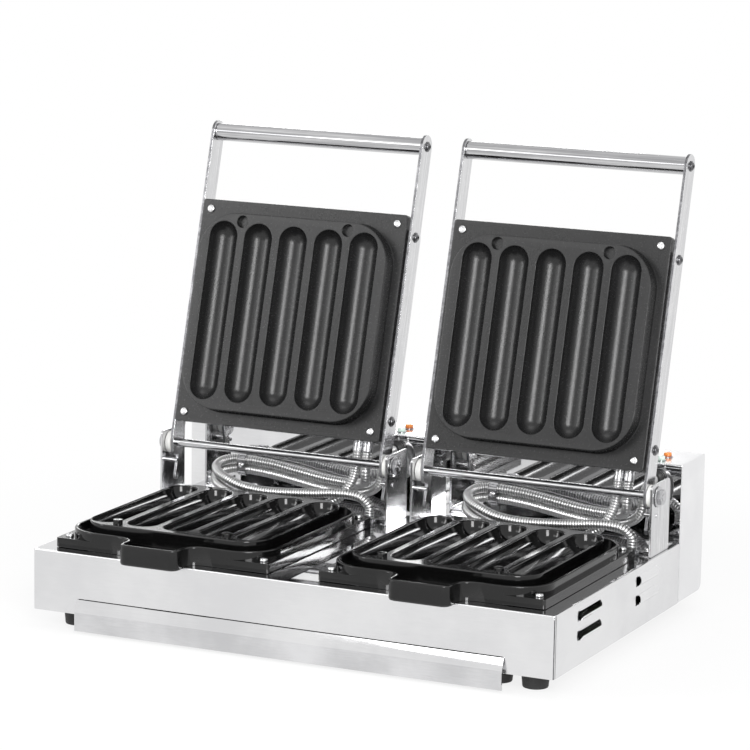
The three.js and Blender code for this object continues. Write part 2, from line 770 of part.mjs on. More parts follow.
function makeHandle() {
  const half = armSpacing / 2 - seatGap;
  const tube = bar('x', handleRadius, -half, half, -armLength, 0, 20);
  const bore = handleRadius - handleWall;
  return tube.subtract(bar('x', bore, -half - cutOverrun, half + cutOverrun, -armLength, 0, 16));
}

// Upright with its inward foot, shaft hole and stop pin, beside one end of a head
function makeUpright(side) {
  const inner = armSpacing / 2 + armThick + spacerThick + seatGap * 2;
  const [x0, x1] = side > 0 ? [inner, inner + uprightSheet] : [-inner - uprightSheet, -inner];
  const y0 = hingeY - uprightLead;
  const base = deckTop + seatGap;
  let upright = block(x0, x1, y0, y0 + uprightDepth, base, deckTop + uprightHeight);
  const toe = side * (inner - uprightFootWidth);
  const footY = y0 + (uprightDepth - uprightFootLength) * 0.8;
  upright = upright.add(block(Math.min(toe, side * inner), Math.max(toe, side * inner), footY,
    footY + uprightFootLength, base, base + uprightSheet));
  const pinEnd = side * (inner - stopReach);
  upright = upright.add(bar('x', stopRadius, Math.min(pinEnd, side * (inner + uprightSheet / 2)),
    Math.max(pinEnd, side * (inner + uprightSheet / 2)), hingeY - stopLead, hingeZ - stopDrop, 12));
  return upright.subtract(bar('x', shaftRadius + runningGap, x0 - cutOverrun, x1 + cutOverrun,
    hingeY, hingeZ, 12));
}

function makeSpacer(side) {
  const near = armSpacing / 2 + armThick + seatGap;
  const [x0, x1] = side > 0 ? [near, near + spacerThick] : [-near - spacerThick, -near];
  const disc = bar('x', spacerRadius, x0, x1, hingeY, hingeZ, 24);
  return disc.subtract(bar('x', shaftRadius + runningGap, x0 - cutOverrun, x1 + cutOverrun,
    hingeY, hingeZ, 12));
}

// Hinge shaft with a washer and a hexagon at each end
function makeShaft() {
  const wall = armSpacing / 2 + armThick + spacerThick + seatGap * 2 + uprightSheet;
  const seat = wall + seatGap;
  const end = seat + washerThick + nutThick;
  let shaft = bar('x', shaftRadius, -end, end, hingeY, hingeZ, 12);
  for (const side of [-1, 1]) {
    const [w0, w1] = side > 0 ? [seat, seat + washerThick] : [-seat - washerThick, -seat];
    const [n0, n1] = side > 0 ? [w1, w1 + nutThick] : [w0 - nutThick, w0];
    shaft = shaft.add(bar('x', washerRadius, w0, w1, hingeY, hingeZ, 20));
    shaft = shaft.add(bar('x', nutAcross / Math.sqrt(3), n0, n1, hingeY, hingeZ, 6));
  }
  return shaft;
}

// Two short sleeves on one plate, on the cover's hinge side, that the conduits meet
function makeHeadGland() {
  const seat = -hingeBehindPlate - coverRearInset + seatGap;
  const end = seat + glandLength;
  const last = glandX + glandPitch;
  const margin = glandRadius + glandPlateMargin;
  let gland = block(glandX - margin, last + margin, seat, seat + glandPlate,
    glandRise - margin, glandRise + margin);
  for (const x of [glandX, last]) {
    gland = gland.add(bar('y', glandRadius, seat, end, x, glandRise, 16));
  }
  for (const x of [glandX, last]) {
    gland = gland.subtract(bar('y', conduitBore, seat - cutOverrun, end + cutOverrun, x, glandRise, 12));
  }
  return gland;
}

function makeDeckGland() {
  const base = deckTop + seatGap;
  const nut = hexagon(glandNutRadius * 2, base, base + deckGlandHeight, deckGlandX, deckGlandY);
  return nut.subtract(bar('z', conduitBore, base - cutOverrun, base + deckGlandHeight + cutOverrun,
    deckGlandX, deckGlandY, 12));
}

function makeBoxGland() {
  const y1 = deckDepth;
  const y0 = y1 - boxGlandLength;
  const z = deckTop + boxGlandRise;
  const nut = bar('y', glandNutRadius, y0, y1, boxGlandX, z, 6);
  return nut.subtract(bar('y', conduitBore, y0 - cutOverrun, y1 + cutOverrun, boxGlandX, z, 12));
}

// Where a sleeve of the head gland ends when the head is open, and which way it points
function glandMouth(x) {
  const seat = -hingeBehindPlate - coverRearInset + seatGap;
  const mouth = new THREE.Vector3(x, seat + glandLength + seatGap, glandRise);
  const turn = new THREE.Matrix4().makeRotationX(-openAngle);
  mouth.applyMatrix4(turn);
  mouth.add(new THREE.Vector3(0, hingeY, hingeZ));
  const out = new THREE.Vector3(0, 1, 0).applyMatrix4(turn);
  return [mouth, out];
}

// Points of a straight start that is one conduit diameter long
function straightRun(mouth, out) {
  return [0, 1, 2].map((i) => mouth.clone().addScaledVector(out, i * conduitRadius));
}

// Places that the first conduit is led through, chosen by hand: across, back and up from the deck
const firstRoute = [
  [86.4, 292.4, 47], [83, 288, 35], [76, 282.5, 24], [62, 276, 14.5], [42, 271, 9.5],
  [15, 269, 8], [-15, 269, 8.5], [-38, 270, 12], [-58, 274, 17.5], [-75, 284, 22], [-84, 299, 26.5],
  [-81.5, 313.5, 30], [-72, 321.6, clipLow], [clipX, clipY, clipLow], [-52, 322, clipLow], [-25, 322, 29.5],
  [5, 322, 25], [35, 322, 20.5], [62, 321, 19], [85, 317, 21.5], [101, 311.5, 28.5],
  [110, 308, 38.5], [112, 308.5, 50], [112, 313.5, 60.5],
];

// Places that the second conduit is led through
const secondRoute = [
  [111, 274.8, 20], [104, 274, 26], [92, 273, 28.5], [73, 271.5, 28.5], [50, 270.3, 26], [25, 269.5, 24],
  [0, 269.5, 22.5], [-20, 269.5, 22.7], [-40, 270.5, 25.2], [-58, 274.5, 30], [-74, 284.5, 34],
  [-83, 299, 37.8], [-81, 313.5, 41], [-72, 321.6, clipHigh], [clipX, clipY, clipHigh], [-52, 322, clipHigh],
  [-25, 322, 40.5], [5, 322, 36], [35, 322, 31.6], [60, 321, 30], [78, 316, 31], [91, 306.5, 35],
  [97, 298, 42], [98.4, 294.6, 50],
];

// A route on this deck: it widens and moves back with the plates
function aboveDeck(route) {
  return route.map(([x, y, z]) => new THREE.Vector3(x * routeShare, y + routeShift, deckTop + z));
}

// A ribbed hose along a curve: ribs outside, a smooth bore inside, open at both ends
function makeConduit(points) {
  const curve = new THREE.CatmullRomCurve3(points, false, 'centripetal');
  curve.arcLengthDivisions = conduitRibs * 8;
  const rings = conduitRibs * 2;
  const sides = conduitSides;
  const frames = curve.computeFrenetFrames(rings, false);
  const positions = [];
  const ring = (k, radius) => {
    const middle = curve.getPointAt(k / rings);
    for (let s = 0; s < sides; s += 1) {
      const angle = Math.PI * 2 * s / sides;
      const p = middle.clone()
        .addScaledVector(frames.normals[k], radius * Math.cos(angle))
        .addScaledVector(frames.binormals[k], radius * Math.sin(angle));
      positions.push(p.x, p.y, p.z);
    }
  };
  for (let k = 0; k <= rings; k += 1) ring(k, k % 2 === 1 ? conduitRadius : conduitGroove);
  const boreRings = [];
  for (let k = rings; k > 0; k -= ribsPerBoreRing * 2) boreRings.push(k);
  boreRings.push(0);
  for (const k of boreRings) ring(k, conduitBore);
  const index = [];
  const rows = rings + 1 + boreRings.length;
  for (let row = 0; row < rows; row += 1) {
    const next = (row + 1) % rows;
    for (let s = 0; s < sides; s += 1) {
      const t = (s + 1) % sides;
      const [a, b, c, d] = [row * sides + s, row * sides + t, next * sides + s, next * sides + t];
      index.push(a, b, c, c, b, d);
    }
  }
  const geometry = new THREE.BufferGeometry();
  geometry.setAttribute('position', new THREE.Float32BufferAttribute(positions, 3));
  geometry.setIndex(index);
  geometry.computeVertexNormals();
  return geometry;
}

// Strap that holds the two conduits together on their way back
function makeClip() {
  const [middle] = aboveDeck([[clipX, clipY, clipLow]]);
  const stadium = (radius) => {
    const shape = new THREE.Shape();
    shape.absarc(middle.y, middle.z + clipPitch, radius, 0, Math.PI, false);
    shape.absarc(middle.y, middle.z, radius, Math.PI, Math.PI * 2, false);
    return shape;
  };
  const inner = conduitRadius + seatGap;
  const x0 = middle.x - clipWidth / 2;
  const x1 = middle.x + clipWidth / 2;
  return prismX(stadium(inner + clipWall), x0, x1, 5)
    .subtract(prismX(stadium(inner), x0 - cutOverrun, x1 + cutOverrun, 5));
}

// Casing, floor, tray and feet
addPiece(machine, 'base_casing', makeCasing(), steel);
addPiece(machine, 'floor_panel', makeFloor(), steel);
addPiece(machine, 'crumb_tray', makeTray(), steel);
const feet = [
  ['foot_front_left', -footOuterX, footFrontY],
  ['foot_front_right', footOuterX, footFrontY],
  ['foot_inner_left', -footInnerX, footFrontY + footEdge * 2],
  ['foot_inner_right', footInnerX, footFrontY + footEdge * 2],
  ['foot_rear_left', -footRearX, bodyDepth - footRearInset],
  ['foot_rear_right', footRearX, bodyDepth - footRearInset],
];
for (const [name, x, y] of feet) {
  addPiece(machine, name, makeFoot(), rubber).position.set(x, y, 0);
}

// Control box with its panel, lamps, thermostats and knobs
addPiece(machine, 'control_box', makeControlBox(), steel);
addPiece(machine, 'rear_panel', makeRearPanel(), steel);
addPiece(machine, 'mains_gland', makeMainsGland(), rubber);
for (const [side, x] of headSides) {
  const amberY = bodyDepth - lampRearInset;
  const greenY = amberY - lampPitch;
  const dialY = bodyDepth - boxDepth / 2;
  const amber = addPiece(machine, `heating_lamp_${side}`, makeLamp(), amberLens);
  amber.position.set(x + lampX, amberY, boxTop);
  const green = addPiece(machine, `power_lamp_${side}`, makeLamp(), greenLens);
  green.position.set(x + lampX, greenY, boxTop);
  const thermostat = addPiece(machine, `thermostat_${side}`, makeThermostat(), whiteNylon);
  thermostat.position.set(x + knobX, dialY, boxTop);
  const knob = addPiece(machine, `thermostat_knob_${side}`, makeKnob(), knobBlack);
  knob.position.set(x + knobX, dialY, boxTop);
}

// The two heads with what stands under and beside each
for (const [side, x] of headSides) {
  const station = new THREE.Group();
  station.position.x = x;
  machine.add(station);
  const lower = addPiece(station, `lower_plate_${side}`, makeLowerPlate(), castGlossy);
  lower.position.set(0, plateMiddle, plateBase);
  addPiece(station, `lower_element_${side}`,
    makeElement(0, plateMiddle, plateBase - seatGap - elementRadius, -1), elementSteel);
  addPiece(station, `upright_${side}_a`, makeUpright(-1), brightSteel);
  addPiece(station, `upright_${side}_b`, makeUpright(1), brightSteel);
  addPiece(station, `spacer_${side}_a`, makeSpacer(-1), whiteNylon);
  addPiece(station, `spacer_${side}_b`, makeSpacer(1), whiteNylon);
  addPiece(station, `hinge_shaft_${side}`, makeShaft(), brightSteel);
  addPiece(station, `deck_gland_${side}`, makeDeckGland(), brightSteel);
  addPiece(station, `box_gland_${side}`, makeBoxGland(), brightSteel);

  const [firstMouth, firstOut] = glandMouth(glandX);
  const boxEnd = new THREE.Vector3(boxGlandX, deckDepth - boxGlandLength - seatGap, deckTop + boxGlandRise);
  const first = [
    ...straightRun(firstMouth, firstOut),
    ...aboveDeck(firstRoute),
    ...straightRun(boxEnd, new THREE.Vector3(0, -1, 0)).reverse(),
  ];
  addPiece(station, `conduit_${side}_a`, makeConduit(first), brightSteel);
  const [secondMouth, secondOut] = glandMouth(glandX + glandPitch);
  const deckEnd = new THREE.Vector3(deckGlandX, deckGlandY, deckTop + deckGlandHeight + seatGap * 2);
  const second = [
    ...straightRun(deckEnd, new THREE.Vector3(0, 0, 1)),
    ...aboveDeck(secondRoute),
    ...straightRun(secondMouth, secondOut).reverse(),
  ];
  addPiece(station, `conduit_${side}_b`, makeConduit(second), brightSteel);
  addPiece(station, `conduit_clip_${side}`, makeClip(), brightSteel);

  const head = new THREE.Group();
  head.position.set(0, hingeY, hingeZ);
  head.rotation.x = -openAngle;
  station.add(head);
  addPiece(head, `upper_plate_${side}`, makeUpperPlate(), castDark);
  addPiece(head, `upper_element_${side}`,
    makeElement(0, -hingeBehindPlate - plateSize / 2, -backDrop + seatGap + elementRadius, 1), elementSteel);
  addPiece(head, `heater_cover_${side}`, makeCover(), steel);
  addPiece(head, `arm_${side}_a`, makeArm(-1), brightSteel);
  addPiece(head, `arm_${side}_b`, makeArm(1), brightSteel);
  addPiece(head, `handle_${side}`, makeHandle(), brightSteel);
  addPiece(head, `head_gland_${side}`, makeHeadGland(), brightSteel);
}

// The origin goes to the middle of the footprint, on the worktop
const frontEdge = plateSetback - spoutReach;
const rearEdge = bodyDepth + mainsReach;
machine.position.y = -(frontEdge + rearEdge) / 2;

export default machine;
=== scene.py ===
"""Looks of the twin hot dog waffle maker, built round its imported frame.

Meshes are worked on a bench in millimetres and placed in the frame in metres. A head's pieces are worked
in the pose where it is shut, and its hinge then turns them to where the head stands open.
"""

import json
import logging
import math
from collections.abc import Callable, Iterable, Sequence
from dataclasses import dataclass, field
from enum import Enum

import bmesh
import bpy
from mathutils import Matrix, Vector

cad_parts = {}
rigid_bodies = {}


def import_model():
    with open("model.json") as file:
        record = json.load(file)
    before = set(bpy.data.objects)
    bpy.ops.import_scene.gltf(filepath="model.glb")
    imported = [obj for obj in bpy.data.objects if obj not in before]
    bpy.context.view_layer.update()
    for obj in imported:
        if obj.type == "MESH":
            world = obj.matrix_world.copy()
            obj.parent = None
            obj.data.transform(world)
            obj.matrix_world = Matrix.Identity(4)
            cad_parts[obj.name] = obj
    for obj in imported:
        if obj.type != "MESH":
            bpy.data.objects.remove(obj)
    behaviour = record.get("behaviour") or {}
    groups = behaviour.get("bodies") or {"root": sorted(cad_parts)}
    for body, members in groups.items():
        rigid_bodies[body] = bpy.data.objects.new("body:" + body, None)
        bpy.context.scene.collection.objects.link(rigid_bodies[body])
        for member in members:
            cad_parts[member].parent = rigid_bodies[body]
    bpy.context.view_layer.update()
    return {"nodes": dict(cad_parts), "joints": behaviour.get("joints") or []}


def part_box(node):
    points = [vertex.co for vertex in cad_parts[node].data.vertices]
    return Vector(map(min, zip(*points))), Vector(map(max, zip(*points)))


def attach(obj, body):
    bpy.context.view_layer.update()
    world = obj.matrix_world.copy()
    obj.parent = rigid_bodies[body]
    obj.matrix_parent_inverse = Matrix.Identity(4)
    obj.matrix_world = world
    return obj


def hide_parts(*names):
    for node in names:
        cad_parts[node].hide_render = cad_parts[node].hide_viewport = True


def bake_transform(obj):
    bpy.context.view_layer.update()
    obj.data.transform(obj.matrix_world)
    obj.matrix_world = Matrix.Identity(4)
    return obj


log = logging.getLogger("waffle_maker")

MM = 0.001
TO_METRES = Matrix.Diagonal((MM, MM, MM, 1.0))

GAP = 0.3
HEXAGON = 6
STEPS_BETWEEN_POINTS = 12

Flat = tuple[float, float]
Socket = bpy.types.NodeSocket


# Shader graphs


class Wire:
    """One output in a material's graph, with arithmetic that adds Math nodes."""

    def __init__(self, graph: "Graph", socket: Socket) -> None:
        """Keeps the graph and the socket that this wire starts from."""
        self.graph = graph
        self.socket = socket

    def __add__(self, other: "Wire | float") -> "Wire":
        """Adds a wire or a number."""
        return self.graph.maths("ADD", self, other)

    __radd__ = __add__

    def __sub__(self, other: "Wire | float") -> "Wire":
        """Takes a wire or a number away."""
        return self.graph.maths("SUBTRACT", self, other)

    def __rsub__(self, other: float) -> "Wire":
        """Takes this wire away from a number."""
        return self.graph.maths("SUBTRACT", other, self)

    def __mul__(self, other: "Wire | float") -> "Wire":
        """Multiplies by a wire or a number."""
        return self.graph.maths("MULTIPLY", self, other)

    __rmul__ = __mul__

    def above(self, low: float, high: float) -> "Wire":
        """Rises from 0 at the low value to 1 at the high one, and stays between."""
        sockets = {"Value": self, "From Min": low, "From Max": high}
        return self.graph.add("ShaderNodeMapRange", {"clamp": True, "interpolation_type": "SMOOTHSTEP"}, sockets)


class Graph:
    """Builds the node graph of one material."""

    def __init__(self, name: str) -> None:
        """Makes an empty material of that name."""
        self.material = bpy.data.materials.new(name)
        self.material.use_nodes = True
        self.tree = self.material.node_tree
        self.tree.nodes.clear()

    def add(self, kind: str, settings: dict | None = None, sockets: dict | None = None, output: int | str = 0) -> Wire:
        """Adds a node, sets it and wires it.

        Args:
            kind: the node's type.
            settings: its own settings, set first; "stops" holds a ramp's places and colours.
            sockets: values or wires for its inputs, by name or number.
            output: which output the wire starts from.

        Returns:
            The wire from that output.
        """
        node = self.tree.nodes.new(kind)
        for key, value in (settings or {}).items():
            if key == "stops":
                self._set_stops(node, value)
            else:
                setattr(node, key, value)
        for key, value in (sockets or {}).items():
            if isinstance(value, Wire):
                self.tree.links.new(value.socket, node.inputs[key])
            else:
                node.inputs[key].default_value = value
        return Wire(self, node.outputs[output] if node.outputs else None)

    @staticmethod
    def _set_stops(node: bpy.types.Node, stops: Sequence[tuple[float, tuple[float, float, float]]]) -> None:
        """Writes a colour ramp's stops."""
        elements = node.color_ramp.elements
        while len(elements) < len(stops):
            elements.new(1.0)
        for element, (place, colour) in zip(elements, stops):
            element.position = place
            element.color = (*colour, 1.0)

    def maths(self, operation: str, first: "Wire | float", second: "Wire | float") -> Wire:
        """Adds a Math node of that operation."""
        return self.add("ShaderNodeMath", {"operation": operation}, {0: first, 1: second})

    def position(self, scale: Sequence[float] = (1.0, 1.0, 1.0), turn: Sequence[float] = (0.0, 0.0, 0.0)) -> Wire:
        """Gives the place on the object, stretched and turned.

        Args:
            scale: how much finer the pattern is along each axis.
            turn: the pattern's turn about each axis, in radians.

        Returns:
            The wire of the place.
        """
        place = self.add("ShaderNodeTexCoord", output="Object")
        turned = self.add("ShaderNodeMapping", {"vector_type": "POINT"}, {"Vector": place, "Rotation": turn})
        return self.add("ShaderNodeMapping", {"vector_type": "POINT"}, {"Vector": turned, "Scale": scale})

    def noise(self, place: Wire, scale: float, detail: float = 3.0, roughness: float = 0.5) -> Wire:
        """Adds a Noise Texture read at a place."""
        sockets = {"Vector": place, "Scale": scale, "Detail": detail, "Roughness": roughness}
        return self.add("ShaderNodeTexNoise", None, sockets)

    def blend(self, share: Wire, low: Sequence[float], high: Sequence[float]) -> Wire:
        """Mixes two colours by a share."""
        sockets = {0: share, 6: (*low, 1.0), 7: (*high, 1.0)}
        return self.add("ShaderNodeMix", {"data_type": "RGBA"}, sockets, 2)

    def bump(self, height: Wire, strength: float, distance: float) -> Wire:
        """Turns a height into a normal; the distance is in metres."""
        return self.add("ShaderNodeBump", None, {"Height": height, "Strength": strength, "Distance": distance})

    def finish(self, sockets: dict) -> bpy.types.Material:
        """Ends the graph in a Principled shader.

        Args:
            sockets: values or wires for the shader's inputs.

        Returns:
            The finished material.
        """
        shader = self.add("ShaderNodeBsdfPrincipled", None, sockets)
        self.add("ShaderNodeOutputMaterial", None, {"Surface": shader})
        return self.material


Colour = tuple[float, float, float]


@dataclass(frozen=True)
class PolishedSheet:
    """Polished stainless sheet: faint rolling streaks, soft waves and wiped smears."""

    name: str
    light: Colour = (0.78, 0.78, 0.785)
    dark: Colour = (0.66, 0.66, 0.67)
    roughness: float = 0.11
    smear: float = 0.10
    grain: tuple[float, float, float] = (1.0, 1.0, 12.0)
    brushed: float = 0.15
    wave: float = 0.35

    def make(self) -> bpy.types.Material:
        """Builds the material."""
        graph = Graph(self.name)
        grain = graph.noise(graph.position(self.grain), 60.0, 4.0, 0.6)
        cloud = graph.noise(graph.position(), 9.0, 4.0, 0.55)
        smear = graph.noise(graph.position((1.0, 1.0, 2.2)), 26.0, 5.0, 0.62).above(0.45, 0.72)
        tone = (cloud * (1.0 - self.brushed) + grain * self.brushed).above(0.34, 0.66)
        height = graph.noise(graph.position(), 5.0, 2.0) * self.wave + grain * (0.06 * self.wave)
        return graph.finish({
            "Base Color": graph.blend(tone, self.dark, self.light),
            "Metallic": 1.0,
            "Roughness": smear * self.smear + grain * (0.4 * self.smear) + self.roughness,
            "Normal": graph.bump(height, 0.35, 0.0012),
        })


@dataclass(frozen=True)
class BrightBar:
    """Polished bar and rod: fine drawing lines along the bar and handling marks; where the dark colour is deep, as on
    the handle, the lines are painted reflection streaks as well.
    """

    name: str
    grain: tuple[float, float, float] = (300.0, 300.0, 6.0)
    turn: tuple[float, float, float] = (0.0, 0.0, 0.0)
    light: Colour = (0.82, 0.82, 0.825)
    dark: Colour = (0.58, 0.58, 0.59)
    roughness: float = 0.13
    marks: float = 0.2

    def make(self) -> bpy.types.Material:
        """Builds the material."""
        graph = Graph(self.name)
        lines = graph.noise(graph.position(self.grain, self.turn), 3.0, 4.0, 0.7)
        marks = graph.noise(graph.position(), 70.0, 5.0, 0.6).above(0.5, 0.75)
        tone = (lines * 0.7 + marks * self.marks).above(0.2, 0.6)
        return graph.finish({
            "Base Color": graph.blend(tone, self.dark, self.light),
            "Metallic": 1.0,
            "Roughness": lines * 0.10 + marks * (0.4 * self.marks) + self.roughness,
            "Normal": graph.bump(lines, 0.12, 0.0004),
        })


@dataclass(frozen=True)
class NonStick:
    """Non-stick coating on a casting: fine sprayed grain, baked haze, and a lighter grey on sharp convex edges."""

    name: str
    dark: Colour = (0.006, 0.006, 0.0065)
    light: Colour = (0.018, 0.018, 0.019)
    roughness: float = 0.16
    haze: float = 0.1
    grain: float = 0.25
    speckle: float = 0.4
    gloss: float = 1.45

    def make(self) -> bpy.types.Material:
        """Builds the material."""
        graph = Graph(self.name)
        spray = graph.noise(graph.position(), 900.0, 2.0, 0.6)
        flecks = graph.noise(graph.position(), 420.0, 3.0, 0.7).above(0.56, 0.70)
        haze = graph.noise(graph.position(), 14.0, 4.0, 0.6)
        # Lighter grey where pointiness is high, on sharp convex edges such as rims and mould lips.
        sharp_edge_share = graph.add("ShaderNodeNewGeometry", output="Pointiness").above(0.52, 0.60)
        tone = (haze * 0.7 + flecks * self.speckle).above(0.25, 0.85)
        coat = graph.blend(tone, self.dark, self.light)
        edge_mix = {0: sharp_edge_share * 0.18, 6: coat, 7: (0.2, 0.2, 0.2, 1.0)}
        edge_lightened_coat = graph.add("ShaderNodeMix", {"data_type": "RGBA"}, edge_mix, 2)
        return graph.finish({
            "Base Color": edge_lightened_coat,
            "Metallic": 0.0,
            "Roughness": haze * self.haze + flecks * 0.06 + self.roughness,
            "IOR": self.gloss,
            "Normal": graph.bump(spray, self.grain, 0.0003),
        })


@dataclass(frozen=True)
class ConduitStrip:
    """Interlocked steel strip of a conduit: the grooves that the piece's own attribute marks take painted shade in
    their colour, and are rougher.
    """

    name: str
    light: Colour = (0.60, 0.60, 0.60)
    # Painted shade: the near-black colour of the grooves, where the corrugation's shade falls.
    groove: Colour = (0.04, 0.04, 0.04)
    roughness: float = 0.24

    def make(self) -> bpy.types.Material:
        """Builds the material."""
        graph = Graph(self.name)
        crest = graph.add("ShaderNodeAttribute", {"attribute_name": "crest"}, None, "Fac")
        stain = graph.noise(graph.position(), 110.0, 3.0)
        # The crest share sets the painted shade: dark in the grooves and metal colour on the crests, with random stain.
        tone = (crest.above(0.1, 0.75) * (stain * 0.5 + 0.75)).above(0.0, 1.0)
        return graph.finish({
            "Base Color": graph.blend(tone, self.groove, self.light),
            "Metallic": 1.0,
            "Roughness": (1.0 - crest) * 0.25 + stain * 0.08 + self.roughness,
        })


@dataclass(frozen=True)
class Moulded:
    """Moulded rubber, plastic or ceramic: a fine skin grain and slight mottling."""

    name: str
    dark: Colour
    light: Colour
    roughness: float = 0.5
    grain: float = 0.15
    scale: float = 500.0

    def make(self) -> bpy.types.Material:
        """Builds the material."""
        graph = Graph(self.name)
        skin = graph.noise(graph.position(), self.scale, 3.0, 0.6)
        mottle = graph.noise(graph.position(), 40.0, 4.0)
        return graph.finish({
            "Base Color": graph.blend(mottle.above(0.3, 0.7), self.dark, self.light),
            "Roughness": skin * 0.12 + mottle * 0.08 + self.roughness,
            "Normal": graph.bump(skin, self.grain, 0.0002),
        })


@dataclass(frozen=True)
class Lens:
    """A lamp's coloured lens: clear skin over a body that is deeper in colour towards its foot."""

    name: str
    deep: Colour
    pale: Colour
    foot: float
    height: float

    def make(self) -> bpy.types.Material:
        """Builds the material."""
        graph = Graph(self.name)
        place = graph.add("ShaderNodeTexCoord", output="Object")
        height = graph.add("ShaderNodeSeparateXYZ", None, {0: place}, 2)
        rise = height.above(self.foot, self.foot + self.height)
        swirl = graph.noise(graph.position(), 300.0, 2.0)
        return graph.finish({
            "Base Color": graph.blend((rise * 0.85 + swirl * 0.3).above(0.0, 1.0), self.deep, self.pale),
            "Roughness": swirl * 0.06 + 0.12,
            "Coat Weight": 0.6,
        })


class Finishes:
    """Every material of the machine, made once."""

    def __init__(self, lean: float, lamp_foot: float) -> None:
        """Makes the materials.

        Args:
            lean: how far the open heads lean back, in radians.
            lamp_foot: the height of the lamps' feet, in metres.
        """
        self.front = PolishedSheet(
            "case_front_sheet", (0.77, 0.77, 0.775), (0.69, 0.69, 0.70), roughness=0.16, smear=0.08).make()
        self.deck = PolishedSheet("deck_sheet", roughness=0.02, smear=0.02, wave=0.02).make()
        self.box = PolishedSheet(
            "control_box_sheet", (0.86, 0.86, 0.865), (0.78, 0.78, 0.79),
            roughness=0.2, smear=0.06, wave=0.1).make()
        self.tray = PolishedSheet(
            "tray_sheet", (0.74, 0.74, 0.75), (0.56, 0.56, 0.57), roughness=0.08, smear=0.12).make()
        self.cover = PolishedSheet("cover_sheet", roughness=0.03, smear=0.03, wave=0.04).make()
        self.arm = BrightBar("arm_bar", turn=(lean, 0.0, 0.0), marks=0.08).make()
        # Painted reflection as well as drawing lines: the handle's deep dark colour makes dark streaks along the tube,
        # standing in for the dark lines that a polished tube reflects.
        self.handle = BrightBar(
            "handle_bar", (1.2, 80.0, 80.0), dark=(0.3, 0.3, 0.31), roughness=0.03, marks=0.02).make()
        self.rod = BrightBar(
            "rod_bar", (6.0, 300.0, 300.0), light=(0.64, 0.64, 0.65), dark=(0.4, 0.4, 0.41),
            roughness=0.06, marks=0.05).make()
        self.bracket = BrightBar("bracket_sheet", dark=(0.5, 0.5, 0.51), roughness=0.12, marks=0.04).make()
        self.screw = BrightBar("screw_zinc", grain=(90.0, 90.0, 90.0), roughness=0.2).make()
        self.lower = NonStick(
            "lower_non_stick", (0.003, 0.003, 0.003), (0.009, 0.009, 0.0095),
            roughness=0.08, haze=0.03, grain=0.006, speckle=0.3, gloss=1.45).make()
        self.upper = NonStick(
            "upper_non_stick", (0.011, 0.011, 0.0112), (0.024, 0.024, 0.025),
            roughness=0.22, haze=0.06, grain=0.5, speckle=0.15, gloss=1.44).make()
        # Blackened bolts, and painted shade too: the case's seam groove and the arms' edge faces take this dark finish.
        self.bolt = BrightBar(
            "blackened_bolt_and_painted_shade", (90.0, 90.0, 90.0), light=(0.30, 0.30, 0.31), dark=(0.10, 0.10, 0.105),
            roughness=0.25).make()
        self.conduit = ConduitStrip("conduit_strip").make()
        self.rubber = Moulded("foot_rubber", (0.012, 0.012, 0.012), (0.03, 0.03, 0.03), 0.55).make()
        self.nylon = Moulded("white_nylon", (0.74, 0.74, 0.72), (0.86, 0.86, 0.84), 0.36, grain=0.06).make()
        self.knob = Moulded("knob_plastic", (0.010, 0.010, 0.010), (0.02, 0.02, 0.02), 0.28, grain=0.05).make()
        self.mark = Moulded("mark_white", (0.7, 0.7, 0.68), (0.82, 0.82, 0.8), 0.5).make()
        self.gland = Moulded("gland_nylon", (0.012, 0.012, 0.012), (0.022, 0.022, 0.022), 0.42).make()
        self.ceramic = Moulded("thermostat_ceramic", (0.62, 0.58, 0.5), (0.76, 0.73, 0.66), 0.6).make()
        self.element = Moulded("element_sheath", (0.10, 0.07, 0.05), (0.22, 0.18, 0.15), 0.5).make()
        self.amber = Lens("amber_lens", (0.35, 0.05, 0.01), (0.95, 0.30, 0.05), lamp_foot, height=0.005).make()
        self.green = Lens("green_lens", (0.45, 0.62, 0.54), (0.80, 0.93, 0.86), lamp_foot, height=0.005).make()


# Bench work


class Outline:
    """A closed outline drawn with lines, arcs and curves, in millimetres."""

    def __init__(self) -> None:
        """Starts with no points."""
        self.points: list[Flat] = []

    def to(self, x: float, y: float) -> "Outline":
        """Draws a line to a point."""
        self.points.append((x, y))
        return self

    def arc(self, x: float, y: float, radius: float, start: float, end: float, steps: int = 8) -> "Outline":
        """Draws an arc about a centre.

        Args:
            x: the centre's first coordinate.
            y: the centre's second coordinate.
            radius: the arc's radius.
            start: the angle where it starts, in degrees.
            end: the angle where it ends, in degrees.
            steps: how many chords it has.

        Returns:
            The outline itself.
        """
        for step in range(steps + 1):
            angle = math.radians(start + (end - start) * step / steps)
            self.points.append((x + radius * math.cos(angle), y + radius * math.sin(angle)))
        return self

    def curve(self, first: Flat, second: Flat, end: Flat, steps: int = 10) -> "Outline":
        """Draws a cubic curve from the last point.

        Args:
            first: the first handle.
            second: the second handle.
            end: where the curve ends.
            steps: how many chords it has.

        Returns:
            The outline itself.
        """
        start = Vector(self.points[-1])
        for step in range(1, steps + 1):
            t = step / steps
            s = 1.0 - t
            place = s**3 * start + 3 * s * s * t * Vector(first) + 3 * s * t * t * Vector(second) + t**3 * Vector(end)
            self.points.append((place.x, place.y))
        return self


